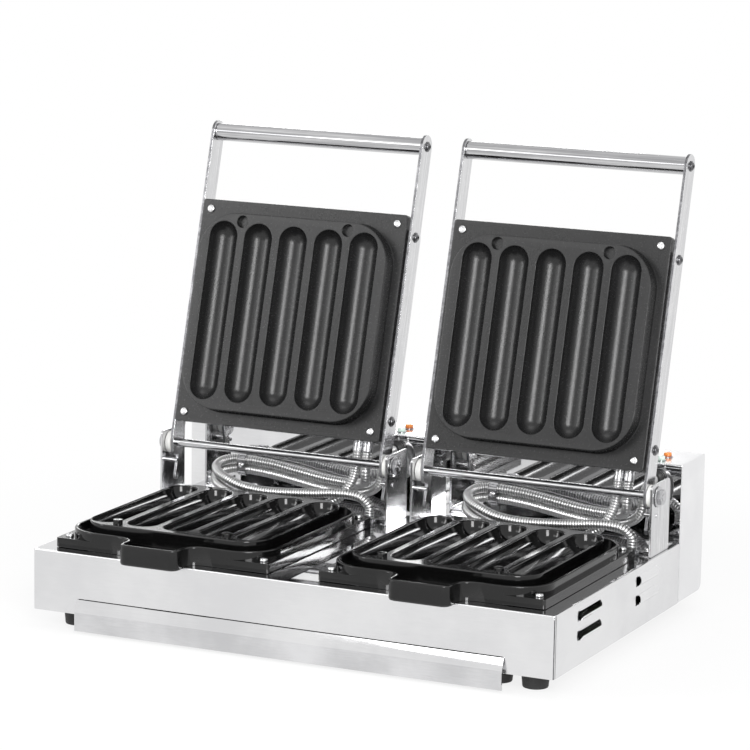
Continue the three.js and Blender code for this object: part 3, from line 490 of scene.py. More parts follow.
def rounded_box(
    width: float, length: float, radius: float, x: float = 0.0, y: float = 0.0, steps: int = 8
) -> list[Flat]:
    """Draws a rectangle with round corners about a centre.

    Args:
        width: its size along the first axis.
        length: its size along the second axis.
        radius: the corners' radius.
        x: the centre's first coordinate.
        y: the centre's second coordinate.
        steps: how many chords a corner has.

    Returns:
        Its points, anticlockwise.
    """
    outline = Outline()
    a, b = width / 2 - radius, length / 2 - radius
    for turn, (sx, sy) in enumerate(((1, -1), (1, 1), (-1, 1), (-1, -1))):
        outline.arc(x + sx * a, y + sy * b, radius, 90.0 * turn - 90.0, 90.0 * turn, steps)
    return outline.points


def stadium(radius: float, straight: float, steps: int = 20) -> list[Flat]:
    """Draws a slot with round ends that runs along the second axis."""
    outline = Outline().arc(0.0, straight / 2, radius, 0.0, 180.0, steps)
    return outline.arc(0.0, -straight / 2, radius, 180.0, 360.0, steps).points


def circle(radius: float, x: float = 0.0, y: float = 0.0, steps: int = 48) -> list[Flat]:
    """Draws a circle about a centre."""
    turns = [math.tau * step / steps for step in range(steps)]
    return [(x + radius * math.cos(turn), y + radius * math.sin(turn)) for turn in turns]


def turn_x(degrees: float) -> Matrix:
    """A turn about the first axis."""
    return Matrix.Rotation(math.radians(degrees), 4, "X")


ALONG_X = Matrix(((0, 0, 1, 0), (1, 0, 0, 0), (0, 1, 0, 0), (0, 0, 0, 1)))
ALONG_Y = Matrix(((0, 1, 0, 0), (0, 0, 1, 0), (1, 0, 0, 0), (0, 0, 0, 1)))


class Solid:
    """A closed mesh on the bench, in millimetres."""

    def __init__(self, mesh: bpy.types.Mesh) -> None:
        """Keeps the mesh."""
        self.mesh = mesh

    @classmethod
    def loft(cls, rings: Sequence[Sequence[Vector]], closed: bool = False) -> "Solid":
        """Skins a stack of rings that have the same number of points.

        Args:
            rings: the rings, from one end to the other.
            closed: whether the last ring joins the first one, so that nothing is capped.

        Returns:
            The solid.
        """
        skin = bmesh.new()
        rows = [[skin.verts.new(place) for place in ring] for ring in rings]
        pairs = list(zip(rows, rows[1:] + rows[:1])) if closed else list(zip(rows, rows[1:]))
        count = len(rows[0])
        for low, high in pairs:
            for i in range(count):
                j = (i + 1) % count
                skin.faces.new((low[i], low[j], high[j], high[i]))
        if not closed:
            skin.faces.new(list(reversed(rows[0])))
            skin.faces.new(rows[-1])
        bmesh.ops.remove_doubles(skin, verts=skin.verts, dist=0.001)
        bmesh.ops.dissolve_degenerate(skin, edges=skin.edges, dist=0.0001)
        bmesh.ops.recalc_face_normals(skin, faces=skin.faces)
        mesh = bpy.data.meshes.new("bench")
        skin.to_mesh(mesh)
        skin.free()
        return cls(mesh)

    @classmethod
    def prism(cls, points: Sequence[Flat], low: float, high: float) -> "Solid":
        """Raises an outline from one height to another."""
        return cls.loft([[Vector((x, y, z)) for x, y in points] for z in (low, high)])

    @classmethod
    def stack(cls, layers: Iterable[tuple[Sequence[Flat], float]]) -> "Solid":
        """Skins outlines that each lie at a height of their own."""
        return cls.loft([[Vector((x, y, z)) for x, y in points] for points, z in layers])

    @classmethod
    def block(cls, low: Sequence[float], high: Sequence[float]) -> "Solid":
        """Makes a block between two corners."""
        points = [(low[0], low[1]), (high[0], low[1]), (high[0], high[1]), (low[0], high[1])]
        return cls.prism(points, low[2], high[2])

    @classmethod
    def turned(cls, profile: Sequence[Flat], steps: int = 48) -> "Solid":
        """Turns a profile of radius and height about the third axis.

        Args:
            profile: the points, from one end of the axis to the other, or round a ring's section.
            steps: how many flats the turned piece has.

        Returns:
            The solid.
        """
        ring = profile[0][0] > 0 and profile[-1][0] > 0
        rings = [[Vector((x, y, z)) for x, y in circle(radius, steps=steps)] for radius, z in profile]
        return cls.loft(rings, closed=ring)

    def placed(self, matrix: Matrix) -> "Solid":
        """Moves the solid and returns it."""
        self.mesh.transform(matrix)
        if matrix.determinant() < 0:
            self.mesh.flip_normals()
        return self

    def moved(self, x: float, y: float, z: float) -> "Solid":
        """Slides the solid and returns it."""
        return self.placed(Matrix.Translation((x, y, z)))

    def copy(self) -> "Solid":
        """Makes a second solid of the same shape."""
        return Solid(self.mesh.copy())

    def worked(self, kind: str, settings: dict) -> "Solid":
        """Runs one modifier over the solid and keeps the plain result.

        Args:
            kind: the modifier's type.
            settings: its settings.

        Returns:
            The solid itself.
        """
        item = bpy.data.objects.new("bench", self.mesh)
        bpy.context.scene.collection.objects.link(item)
        modifier = item.modifiers.new(kind.lower(), kind)
        for key, value in settings.items():
            setattr(modifier, key, value)
        graph = bpy.context.evaluated_depsgraph_get()
        self.mesh = bpy.data.meshes.new_from_object(item.evaluated_get(graph), depsgraph=graph)
        bpy.data.objects.remove(item)
        return self

    def _with(self, other: "Solid", operation: str) -> "Solid":
        """Joins, cuts or trims with another solid."""
        tool = bpy.data.objects.new("tool", other.mesh)
        bpy.context.scene.collection.objects.link(tool)
        self.worked("BOOLEAN", {"operation": operation, "object": tool, "solver": "EXACT"})
        bpy.data.objects.remove(tool)
        return self

    def cut(self, other: "Solid") -> "Solid":
        """Cuts another solid out of this one."""
        return self._with(other, "DIFFERENCE")

    def join(self, other: "Solid") -> "Solid":
        """Joins another solid to this one."""
        return self._with(other, "UNION")

    def trim(self, other: "Solid") -> "Solid":
        """Keeps what this solid shares with another one."""
        return self._with(other, "INTERSECT")

    def beside(self, other: "Solid") -> "Solid":
        """Puts another solid into the same mesh, apart from this one."""
        both = bmesh.new()
        both.from_mesh(self.mesh)
        both.from_mesh(other.mesh)
        both.to_mesh(self.mesh)
        both.free()
        return self

    def scored(self, axis: int, *places: float) -> "Solid":
        """Scores the faces at some places of an axis, so that no face bends round a corner."""
        data = bmesh.new()
        data.from_mesh(self.mesh)
        for place in places:
            spot, way = Vector(), Vector()
            spot[axis], way[axis] = place, 1.0
            bmesh.ops.bisect_plane(data, geom=[*data.verts, *data.edges, *data.faces], plane_co=spot, plane_no=way)
        data.to_mesh(self.mesh)
        data.free()
        return self

    def eased(self, width: float, segments: int = 3, angle: float = 35.0) -> "Solid":
        """Rounds every edge that is sharper than an angle in degrees."""
        settings = {
            "width": width,
            "segments": segments,
            "limit_method": "ANGLE",
            "angle_limit": math.radians(angle),
            "use_clamp_overlap": False,
            "miter_outer": "MITER_ARC",
        }
        return self.worked("BEVEL", settings)

    def piece(
        self, name: str, place: Matrix, material: bpy.types.Material, body: str | None, slot: str,
        *nodes: str, sharp: float = 38.0,
    ) -> bpy.types.Object:
        """Finishes the solid as a piece of the machine.

        Args:
            name: the piece's name.
            place: where the bench lies in the frame, in millimetres.
            material: its finish.
            body: the body that it rides on, or None for a piece that rides on no body.
            slot: a name for its finish's slot; not used.
            nodes: the nodes that it stands for.
            sharp: the angle in degrees past which an edge stays sharp.

        Returns:
            The piece.
        """
        self.mesh.transform(TO_METRES @ place)
        self.mesh.materials.clear()
        self.mesh.materials.append(material)
        self.mesh.shade_smooth()
        self.mesh.set_sharp_from_angle(angle=math.radians(sharp))
        self.worked("WEIGHTED_NORMAL", {"keep_sharp": True, "weight": 60})
        self.mesh.name = name
        item = bpy.data.objects.new(name, self.mesh)
        bpy.context.scene.collection.objects.link(item)
        if body:
            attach(item, body)
        if nodes:
            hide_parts(*nodes)
        log.info("%s: %d faces on %s", name, len(self.mesh.polygons), body)
        return item


def polish(item: bpy.types.Object, finish: bpy.types.Material, pick: Callable[[Vector, Vector], bool]) -> None:
    """Gives some faces of a piece a finish of their own.

    Args:
        item: the piece.
        finish: the finish.
        pick: says by its normal and its centre whether a face takes it.
    """
    item.data.materials.append(finish)
    for face in item.data.polygons:
        if pick(face.normal, face.center):
            face.material_index = len(item.data.materials) - 1


class GeometryTree:
    """A Geometry Nodes tree with named inputs, which is run once over a mesh."""

    def __init__(self, name: str) -> None:
        """Makes a tree that takes and gives a geometry."""
        self.tree = bpy.data.node_groups.new(name, "GeometryNodeTree")
        self.tree.interface.new_socket("Geometry", in_out="INPUT", socket_type="NodeSocketGeometry")
        self.tree.interface.new_socket("Geometry", in_out="OUTPUT", socket_type="NodeSocketGeometry")
        self.start = self.tree.nodes.new("NodeGroupInput")
        self.end = self.tree.nodes.new("NodeGroupOutput")
        self.ids: dict[str, str] = {}

    def input(self, name: str, kind: str) -> None:
        """Adds a named input of a socket type."""
        socket = self.tree.interface.new_socket(name, in_out="INPUT", socket_type=kind)
        self.ids[name] = socket.identifier

    def given(self, name: str) -> Socket:
        """Gives the socket of a named input."""
        return self.start.outputs[name]

    def add(
        self, kind: str, settings: dict | None = None, sockets: dict | None = None, output: int | str = 0
    ) -> Socket:
        """Adds a node, sets it and wires it.

        Args:
            kind: the node's type.
            settings: its own settings.
            sockets: values or sockets for its inputs, by name or number.
            output: which output is wanted.

        Returns:
            That output's socket.
        """
        node = self.tree.nodes.new(kind)
        for key, value in (settings or {}).items():
            setattr(node, key, value)
        for key, value in (sockets or {}).items():
            if isinstance(value, bpy.types.NodeSocket):
                self.tree.links.new(value, node.inputs[key])
            else:
                node.inputs[key].default_value = value
        return node.outputs[output]

    def maths(self, operation: str, *values: Socket | float) -> Socket:
        """Adds a Math node of that operation."""
        return self.add("ShaderNodeMath", {"operation": operation}, dict(enumerate(values)))

    def close(self, geometry: Socket) -> None:
        """Realizes the instances, sets the material and ends the tree."""
        real = self.add("GeometryNodeRealizeInstances", None, {"Geometry": geometry})
        done = self.add("GeometryNodeSetMaterial", None, {"Geometry": real, "Material": self.given("Material")})
        self.tree.links.new(done, self.end.inputs[0])

    def run(self, mesh: bpy.types.Mesh, values: dict) -> bpy.types.Mesh:
        """Runs the tree over a mesh.

        Args:
            mesh: what the tree takes.
            values: the named inputs' values.

        Returns:
            The plain mesh that it gives.
        """
        item = bpy.data.objects.new("bench", mesh)
        modifier = item.modifiers.new("tree", "NODES")
        modifier.node_group = self.tree
        for name, value in values.items():
            modifier[self.ids[name]] = value
        bpy.context.scene.collection.objects.link(item)
        graph = bpy.context.evaluated_depsgraph_get()
        result = bpy.data.meshes.new_from_object(item.evaluated_get(graph), depsgraph=graph)
        bpy.data.objects.remove(item)
        return result


class RowTree(GeometryTree):
    """Copies of one solid in a centred row."""

    def __init__(self) -> None:
        """Builds the tree."""
        super().__init__("row_of_copies")
        self.input("Count", "NodeSocketInt")
        self.input("Step", "NodeSocketVector")
        self.input("Material", "NodeSocketMaterial")
        last = self.maths("SUBTRACT", self.given("Count"), 1.0)
        half = self.maths("MULTIPLY", last, -0.5)
        first = self.add("ShaderNodeVectorMath", {"operation": "SCALE"}, {0: self.given("Step"), "Scale": half})
        line = self.add("GeometryNodeMeshLine", {"mode": "OFFSET"}, {
            "Count": self.given("Count"), "Start Location": first, "Offset": self.given("Step")})
        copies = self.add("GeometryNodeInstanceOnPoints", None, {"Points": line, "Instance": self.given("Geometry")})
        self.close(copies)

    def row(self, solid: Solid, count: int, step: Sequence[float], material: bpy.types.Material) -> Solid:
        """Repeats a solid as one solid; the step from copy to copy is in millimetres."""
        return Solid(self.run(solid.mesh, {"Count": count, "Step": step, "Material": material}))


class ScatterTree(GeometryTree):
    """Copies of a fastener at the points of a mesh, all turned the same way."""

    def __init__(self) -> None:
        """Builds the tree."""
        super().__init__("fasteners_at_points")
        self.input("Fastener", "NodeSocketObject")
        self.input("Turn", "NodeSocketVector")
        self.input("Material", "NodeSocketMaterial")
        shape = self.add("GeometryNodeObjectInfo", None, {"Object": self.given("Fastener")}, "Geometry")
        turn = self.add("FunctionNodeEulerToRotation", None, {0: self.given("Turn")})
        copies = self.add("GeometryNodeInstanceOnPoints", None, {
            "Points": self.given("Geometry"), "Instance": shape, "Rotation": turn})
        self.close(copies)


class ConduitTree(GeometryTree):
    """A ribbed metal hose along a line of edges."""

    def __init__(self) -> None:
        """Builds the tree."""
        super().__init__("ribbed_conduit")
        for name in ("Radius", "Groove", "Pitch"):
            self.input(name, "NodeSocketFloat")
        self.input("Sides", "NodeSocketInt")
        self.input("Material", "NodeSocketMaterial")
        curve = self.add("GeometryNodeMeshToCurve", None, {"Mesh": self.given("Geometry")})
        step = self.maths("DIVIDE", self.given("Pitch"), 6.0)
        even = self.add("GeometryNodeResampleCurve", {"mode": "LENGTH"}, {"Curve": curve, "Length": step})
        along = self.add("GeometryNodeSplineParameter", output="Length")
        turns = self.maths("DIVIDE", along, self.given("Pitch"))
        angle = self.maths("MULTIPLY", turns, math.pi)
        sine = self.maths("SINE", angle)
        size = self.maths("ABSOLUTE", sine)
        crest = self.maths("POWER", size, 0.45)
        depth = self.maths("SUBTRACT", self.given("Radius"), self.given("Groove"))
        radius = self.maths("MULTIPLY_ADD", crest, depth, self.given("Groove"))
        # The crest share is kept on the mesh for the strip's painted shade in the grooves.
        marked = self.add("GeometryNodeStoreNamedAttribute", {"data_type": "FLOAT", "domain": "POINT"}, {
            "Geometry": even, "Name": "crest", "Value": crest})
        ring = self.add("GeometryNodeCurvePrimitiveCircle", None, {"Resolution": self.given("Sides"), "Radius": 1.0})
        skin = self.add("GeometryNodeCurveToMesh", None, {
            "Curve": marked, "Profile Curve": ring, "Scale": radius, "Fill Caps": True})
        self.close(skin)

    def hose(self, points: Sequence[Vector], values: dict) -> Solid:
        """Makes a hose.

        Args:
            points: its middle line, in millimetres.
            values: the tree's inputs.

        Returns:
            The hose as one solid.
        """
        line = bpy.data.meshes.new("middle_line")
        line.from_pydata([tuple(p) for p in points], [(i, i + 1) for i in range(len(points) - 1)], [])
        return Solid(self.run(line, values))


def smooth_line(points: Sequence[Vector], steps: int = STEPS_BETWEEN_POINTS) -> list[Vector]:
    """Runs a centripetal curve through given points, as the solid's hose does.

    Args:
        points: the points that it passes.
        steps: how many parts lie between two of them.

    Returns:
        The fine points of the curve.
    """
    ends = [points[0] * 2 - points[1], *points, points[-1] * 2 - points[-2]]
    line: list[Vector] = []
    for a, b, c, d in zip(ends, ends[1:], ends[2:], ends[3:]):
        knots = [0.0]
        for near, far in ((a, b), (b, c), (c, d)):
            knots.append(knots[-1] + (far - near).length ** 0.5)
        for step in range(steps):
            t = knots[1] + (knots[2] - knots[1]) * step / steps
            ab, bc, cd = (
                near.lerp(far, (t - knots[i]) / (knots[i + 1] - knots[i]))
                for i, (near, far) in enumerate(((a, b), (b, c), (c, d)))
            )
            abc = ab.lerp(bc, (t - knots[0]) / (knots[2] - knots[0]))
            bcd = bc.lerp(cd, (t - knots[1]) / (knots[3] - knots[1]))
            line.append(abc.lerp(bcd, (t - knots[1]) / (knots[2] - knots[1])))
    return [*line, points[-1]]


# Places and fasteners


class Side(Enum):
    """The two stations of the machine."""

    LEFT = "left"
    RIGHT = "right"


class End(Enum):
    """The two ends of a head's hinge line, from left to right."""

    A = "a"
    B = "b"

    @property
    def sign(self) -> float:
        """Says on which side of the middle the end is."""
        return -1.0 if self is End.A else 1.0


class Facing(Enum):
    """The turn that points a fastener's head one way."""

    UP = (0.0, 0.0, 0.0)
    DOWN = (math.pi, 0.0, 0.0)
    LEFT = (0.0, -math.pi / 2, 0.0)
    RIGHT = (0.0, math.pi / 2, 0.0)
    FRONT = (math.pi / 2, 0.0, 0.0)
    BACK = (-math.pi / 2, 0.0, 0.0)


@dataclass(frozen=True)
class PanScrew:
    """A pan-head screw with a cross recess; its seat is at height 0."""

    radius: float = 4.2
    height: float = 2.8
    shank: float = 1.0
    recess: float = 0.85

    def solid(self) -> Solid:
        """Builds the screw."""
        r, h = self.radius, self.height
        profile = [(0, -self.shank), (r * 0.5, -self.shank), (r * 0.5, 0), (r * 0.96, 0), (r, h * 0.12), (r, h * 0.42)]
        profile += [(r * 0.93, h * 0.68), (r * 0.76, h * 0.87), (r * 0.45, h * 0.97), (0, h)]
        screw = Solid.turned(profile, 24)
        long, short = r * 0.56, self.recess / 2
        cross = Solid.block((-long, -short, h * 0.45), (long, short, h * 2))
        cross.join(Solid.block((-short, -long, h * 0.45), (short, long, h * 2)))
        return screw.cut(cross)


@dataclass(frozen=True)
class SocketBolt:
    """A button-head bolt with a hexagon socket, on a plain washer."""

    radius: float = 4.3
    height: float = 2.4
    washer: float = 0.9
    socket: float = 1.9

    def solid(self) -> Solid:
        """Builds the bolt and its washer."""
        r, h, w = self.radius, self.height, self.washer
        profile = [(0, -0.6), (r * 0.55, -0.6), (r * 0.55, 0), (r * 1.25, 0), (r * 1.3, w * 0.3), (r * 1.3, w * 0.8)]
        profile += [(r * 1.25, w), (r * 0.97, w), (r, w + h * 0.15), (r * 0.95, w + h * 0.45)]
        profile += [(r * 0.8, w + h * 0.75), (r * 0.6, w + h * 0.95), (0, w + h)]
        bolt = Solid.turned(profile, 24)
        return bolt.cut(Solid.prism(circle(self.socket, steps=HEXAGON), w + h * 0.3, h * 3))


@dataclass
class Workshop:
    """Where each bench lies in the frame, with the finishes and the trees."""

    base: Matrix
    hinges: dict[Side, Vector]
    open_angle: float
    finishes: Finishes
    rows: RowTree = field(default_factory=RowTree)
    scatter: ScatterTree = field(default_factory=ScatterTree)
    hoses: ConduitTree = field(default_factory=ConduitTree)

    def station(self, side: Side) -> Matrix:
        """Gives the bench of a station's fixed pieces, centred on its head."""
        return self.base @ Matrix.Translation((self.hinges[side].x, 0.0, 0.0))

    def head(self, side: Side) -> Matrix:
        """Gives the bench of a head, which is worked shut and stands open."""
        return Matrix.Translation(self.hinges[side]) @ turn_x(-self.open_angle)

    def fasten(
        self, name: str, kind: PanScrew | SocketBolt, points: Sequence[Sequence[float]], facing: Facing,
        place: Matrix, body: str, finish: bpy.types.Material | None = None,
    ) -> bpy.types.Object:
        """Puts a fastener at each point as one piece.

        Args:
            name: the piece's name.
            kind: the fastener.
            points: where its seats are, in millimetres.
            facing: which way the heads point.
            place: where the bench lies in the frame.
            body: the body that the fasteners ride on.
            finish: their finish, if it isn't the screws' zinc.

        Returns:
            The piece.
        """
        sample = bpy.data.objects.new("fastener", kind.solid().mesh)
        bpy.context.scene.collection.objects.link(sample)
        dots = bpy.data.meshes.new("dots")
        dots.from_pydata([tuple(point) for point in points], [], [])
        finish = finish or self.finishes.screw
        values = {"Fastener": sample, "Turn": facing.value, "Material": finish}
        solid = Solid(self.scatter.run(dots, values))
        bpy.data.objects.remove(sample)
        return solid.piece(name, place, finish, body, "bright_steel", sharp=30.0)


@dataclass
class Fitting:
    """What one station has: its workshop and its side."""

    shop: Workshop
    side: Side

    @property
    def name(self) -> str:
        """Gives the station's name."""
        return self.side.value

    @property
    def fixed(self) -> Matrix:
        """Gives the bench of the station's fixed pieces."""
        return self.shop.station(self.side)


# Base


@dataclass
class Casing:
    """The folded case: front, sides and deck, with a pair of louvres of each kind on either side."""

    shop: Workshop
    half: float = 290.0
    depth: float = 344.5
    low: float = 19.0
    high: float = 83.0
    sheet: float = 1.5
    bend: float = 2.4
    hem: float = 3.0
    hem_depth: float = 0.12
    seam: tuple[float, float, float] = (0.9, 2.8, 4.3)
    slot_half: float = 236.3
    slot_top: float = 35.6
    well: tuple[float, float] = (94.4, 96.4)
    plate_middle: float = 138.5
    deck_hole: tuple[float, float, float] = (113.0, 275.0, 3.2)
    louvres: tuple[float, float] = (91.0, 251.0)
    louvre_rows: tuple[float, float] = (49.0, 69.0)
    louvre_length: float = 60.0
    louvre_radius: float = 6.0
    louvre_rise: float = 5.0
    louvre_sheet: float = 1.0
    louvre_slot: float = 6.0
    score: float = 4.0
    screw_inset: float = 20.0
    screw_ys: tuple[float, float] = (150.0, 300.0)
    over: float = 5.0

    def _outline(self, inset: float) -> list[Flat]:
        """Draws the case from above, drawn in at the front and the sides."""
        half, radius = self.half - inset, max(self.bend - inset, 0.5)
        outline = Outline().to(-half, self.depth)
        outline.arc(-half + radius, inset + radius, radius, 180, 270, 6)
        outline.arc(half - radius, inset + radius, radius, 270, 360, 6)
        sunk, near, far = self.seam
        outline.to(half, near).to(half - sunk, near).to(half - sunk, far).to(half, far)
        return outline.to(half, self.depth).points

    def _hood(self, y: float, z: float, sheet: float) -> Solid:
        """Builds a louvre's hood on the right wall, or its hollow when a sheet is taken off."""
        radius, rise = self.louvre_radius - sheet, self.louvre_rise - sheet
        straight = self.louvre_length - 2 * self.louvre_radius + 2.0
        wall = self.half - self.sheet
        layers = [(0.0, wall - self.over if sheet else wall + 0.4)]
        layers += [(math.radians(11.25 * step), 0.0) for step in range(1, 9)]
        rings = []
        for turn, start in layers:
            points = [(y + b, z - a) for a, b in stadium(radius * math.cos(turn), straight, 12)]
            rings.append((points, start or wall + rise * math.sin(turn)))
        return Solid.stack(rings).placed(ALONG_X)

    def build(self) -> None:
        """Builds the case and hands it over."""
        high, hem = self.high, self.high - self.hem
        layers = [(0.0, self.low), (0.0, hem - 0.45), (self.hem_depth, hem - 0.2), (self.hem_depth, hem + 0.2)]
        layers += [(0.0, hem + 0.45), (0.0, high - 1.4), (0.16, high - 0.75), (0.6, high - 0.2), (1.4, high)]
        shell = Solid.stack([(self._outline(inset), z) for inset, z in layers])
        inner = self.half - self.sheet
        far, top = self.depth + self.over, high - self.sheet
        shell.cut(Solid.block((-inner, self.sheet, self.low - self.over), (inner, far, top)))
        shell.cut(Solid.block((-self.slot_half, -self.over, 0), (self.slot_half, self.over, self.slot_top)))
        x, y, radius = self.deck_hole
        a, b = self.well
        under, above = high - 4, high + 4
        for hinge in self.shop.hinges.values():
            near, far = self.plate_middle - b, self.plate_middle + b
            shell.cut(Solid.block((hinge.x - a, near, under), (hinge.x + a, far, above)))
            shell.cut(Solid.prism(circle(radius, hinge.x + x, y, 24), under, above))
        for mirror in (1.0, -1.0):
            flip = Matrix.Diagonal((mirror, 1.0, 1.0, 1.0))
            for row in self.louvre_rows:
                for start in self.louvres:
                    shell.join(self._hood(start, row, 0.0).placed(flip))
                    shell.cut(self._hood(start, row, self.louvre_sheet).placed(flip))
                    shell.cut(self._mouth(start, row, start == self.louvres[0]).placed(flip))
        near = self.half - self.score
        shell.eased(0.25, 1, 50.0).scored(0, -near, near).scored(2, high - self.score)
        finishes = self.shop.finishes
        case = shell.piece(
            "folded_case", self.shop.base, finishes.front, "base", "case_steel", "base_casing", sharp=30.0)
        polish(case, finishes.deck, lambda normal, spot: normal.z > 0.99)
        # Painted shade: the faces inside the seam's groove on the right side take the dark blackened finish, standing
        # in for the shadow in the gap.
        low, high = (self.half - self.seam[0] - 0.1) * MM, (self.half - 0.3) * MM
        polish(case, finishes.bolt, lambda normal, spot: low < spot.x < high and abs(normal.z) < 0.1)
        screws = [(side * (self.half - self.screw_inset), y, self.low) for side in (-1, 1) for y in self.screw_ys]
        self.shop.fasten("case_floor_screws", PanScrew(3.0, 1.8), screws, Facing.DOWN, self.shop.base, "base")

    def _mouth(self, y: float, z: float, above: bool) -> Solid:
        """Cuts a hood's front end open, and its upper side too where it is open above."""
        front, r = y - self.louvre_length / 2, self.louvre_radius - self.louvre_sheet
        near, far = self.half - self.sheet / 2, self.half + self.over
        mouth = Solid.block((near, front - 2.0, z - r), (far, front + r, z + r))
        if above:
            low = z + r - self.louvre_slot
            mouth.join(Solid.block((near, front, low), (far, front + self.louvre_length - r, z + r)))
        return mouth


@dataclass
class CrumbTray:
    """The tray with its slanted and then upright lip; the lip's lower edge is folded back."""

    shop: Workshop
    half: float = 235.5
    depth: float = 300.0
    sheet: float = 1.2
    bottom: float = 20.9
    top: float = 32.9
    lip_half: float = 238.0
    front: float = -0.3
    lean: float = 5.0
    lip_top: float = 35.2
    lip_break: float = 22.6
    lip_low: float = 3.0
    fold: float = 7.0
    score: float = 4.0

    def _lip(self) -> list[Flat]:
        """Draws the lip from the side."""
        s, outer = self.sheet, self.front - self.sheet - self.lean
        lip = Outline().to(self.front, self.lip_top).to(self.front - s, self.lip_top)
        lip.curve((outer + 0.4, self.lip_break + 1.0), (outer, self.lip_break), (outer, self.lip_break - 2.0), 6)
        lip.arc(outer + s, self.lip_low + s, s, 180, 360, 8)
        lip.to(outer + 2 * s, self.lip_low + self.fold).to(outer + s + 0.1, self.lip_low + self.fold)
        lip.to(outer + s + 0.1, self.lip_low + self.fold + 0.8).to(outer + s, self.lip_low + self.fold + 0.8)
        lip.to(outer + s, self.lip_break - 2.0)
        end = (self.front, self.lip_top - 0.6)
        return lip.curve((outer + s, self.lip_break), (outer + s + 0.3, self.lip_break + 0.9), end, 6).points

    def build(self) -> None:
        """Builds the tray and hands it over."""
        outer = self.front - self.sheet - self.lean
        middle, length = (self.depth + self.front) / 2, self.depth - self.front
        shells = [(1.5, self.bottom), (0.45, self.bottom + 0.4), (0.0, self.bottom + 1.5), (0.0, self.top)]
        pan = Solid.stack(
            [(rounded_box(2 * (self.half - d), length - 2 * d, 3.2 - d, 0, middle), z) for d, z in shells])
        hollows = [
            (2.4, self.bottom + self.sheet), (1.4, self.bottom + 1.6), (1.2, self.bottom + 2.7), (1.2, self.top + 9)]
        room = length + 30.0
        pan.cut(Solid.stack([
            (rounded_box(2 * (self.half - d), room - 2 * d, 3.4 - d, 0, middle - 15.0), z)
            for d, z in hollows]))
        side, floor = self.half - 2, self.bottom + self.sheet
        pan.join(Solid.block((-side, outer + 0.6, self.bottom), (side, 6.0, floor)))
        pan.join(Solid.prism(self._lip(), -self.lip_half, self.lip_half).placed(ALONG_X))
        near = self.half - self.score
        pan.eased(0.2, 1, 50.0).scored(0, -near, near).scored(1, self.depth - self.score)
        finishes = self.shop.finishes
        tray = pan.piece("tray_and_lip", self.shop.base, finishes.tray, "tray", "case_steel", "crumb_tray", sharp=30.0)
        low = self.lip_break * MM
        polish(tray, finishes.deck, lambda normal, spot: spot.z > low and normal.y < -0.5)


@dataclass
class Feet:
    """The six rubber feet, each with its screw deep in the sole."""

    shop: Workshop
    top: float = 18.7
    wide: float = 14.5
    sole: float = 13.0
    bore: float = 4.0
    bore_depth: float = 8.0
    places: tuple[tuple[str, float, float], ...] = (
        ("front_left", -257.0, 35.0),
        ("front_right", 257.0, 35.0),
        ("inner_left", -217.0, 39.0),
        ("inner_right", 217.0, 39.0),
        ("rear_left", -240.0, 385.0),
        ("rear_right", 240.0, 385.0),
    )

    def build(self) -> None:
        """Builds the feet and hands them over."""
        w, s, t = self.wide, self.sole, self.top
        profile = [(0, self.bore_depth), (self.bore - 0.3, self.bore_depth), (self.bore, self.bore_depth - 0.4)]
        profile += [(self.bore, 0.5), (self.bore + 0.5, 0), (s - 1.4, 0), (s - 0.4, 0.4), (s, 1.5), (w - 0.35, t - 5.0)]
        profile += [(w, t - 4.2), (w, t - 0.8), (w - 0.3, t - 0.2), (w - 1.0, t), (0, t)]
        for name, x, y in self.places:
            foot = Solid.turned(profile, 40).moved(x, y, 0)
            finish = self.shop.finishes.rubber
            foot.piece(f"rubber_foot_{name}", self.shop.base, finish, "base", "foot_rubber", f"foot_{name}", sharp=50.0)
        soles = [(x, y, self.bore_depth) for _, x, y in self.places]
        self.shop.fasten("foot_screws", PanScrew(3.3, 2.0), soles, Facing.DOWN, self.shop.base, "base")


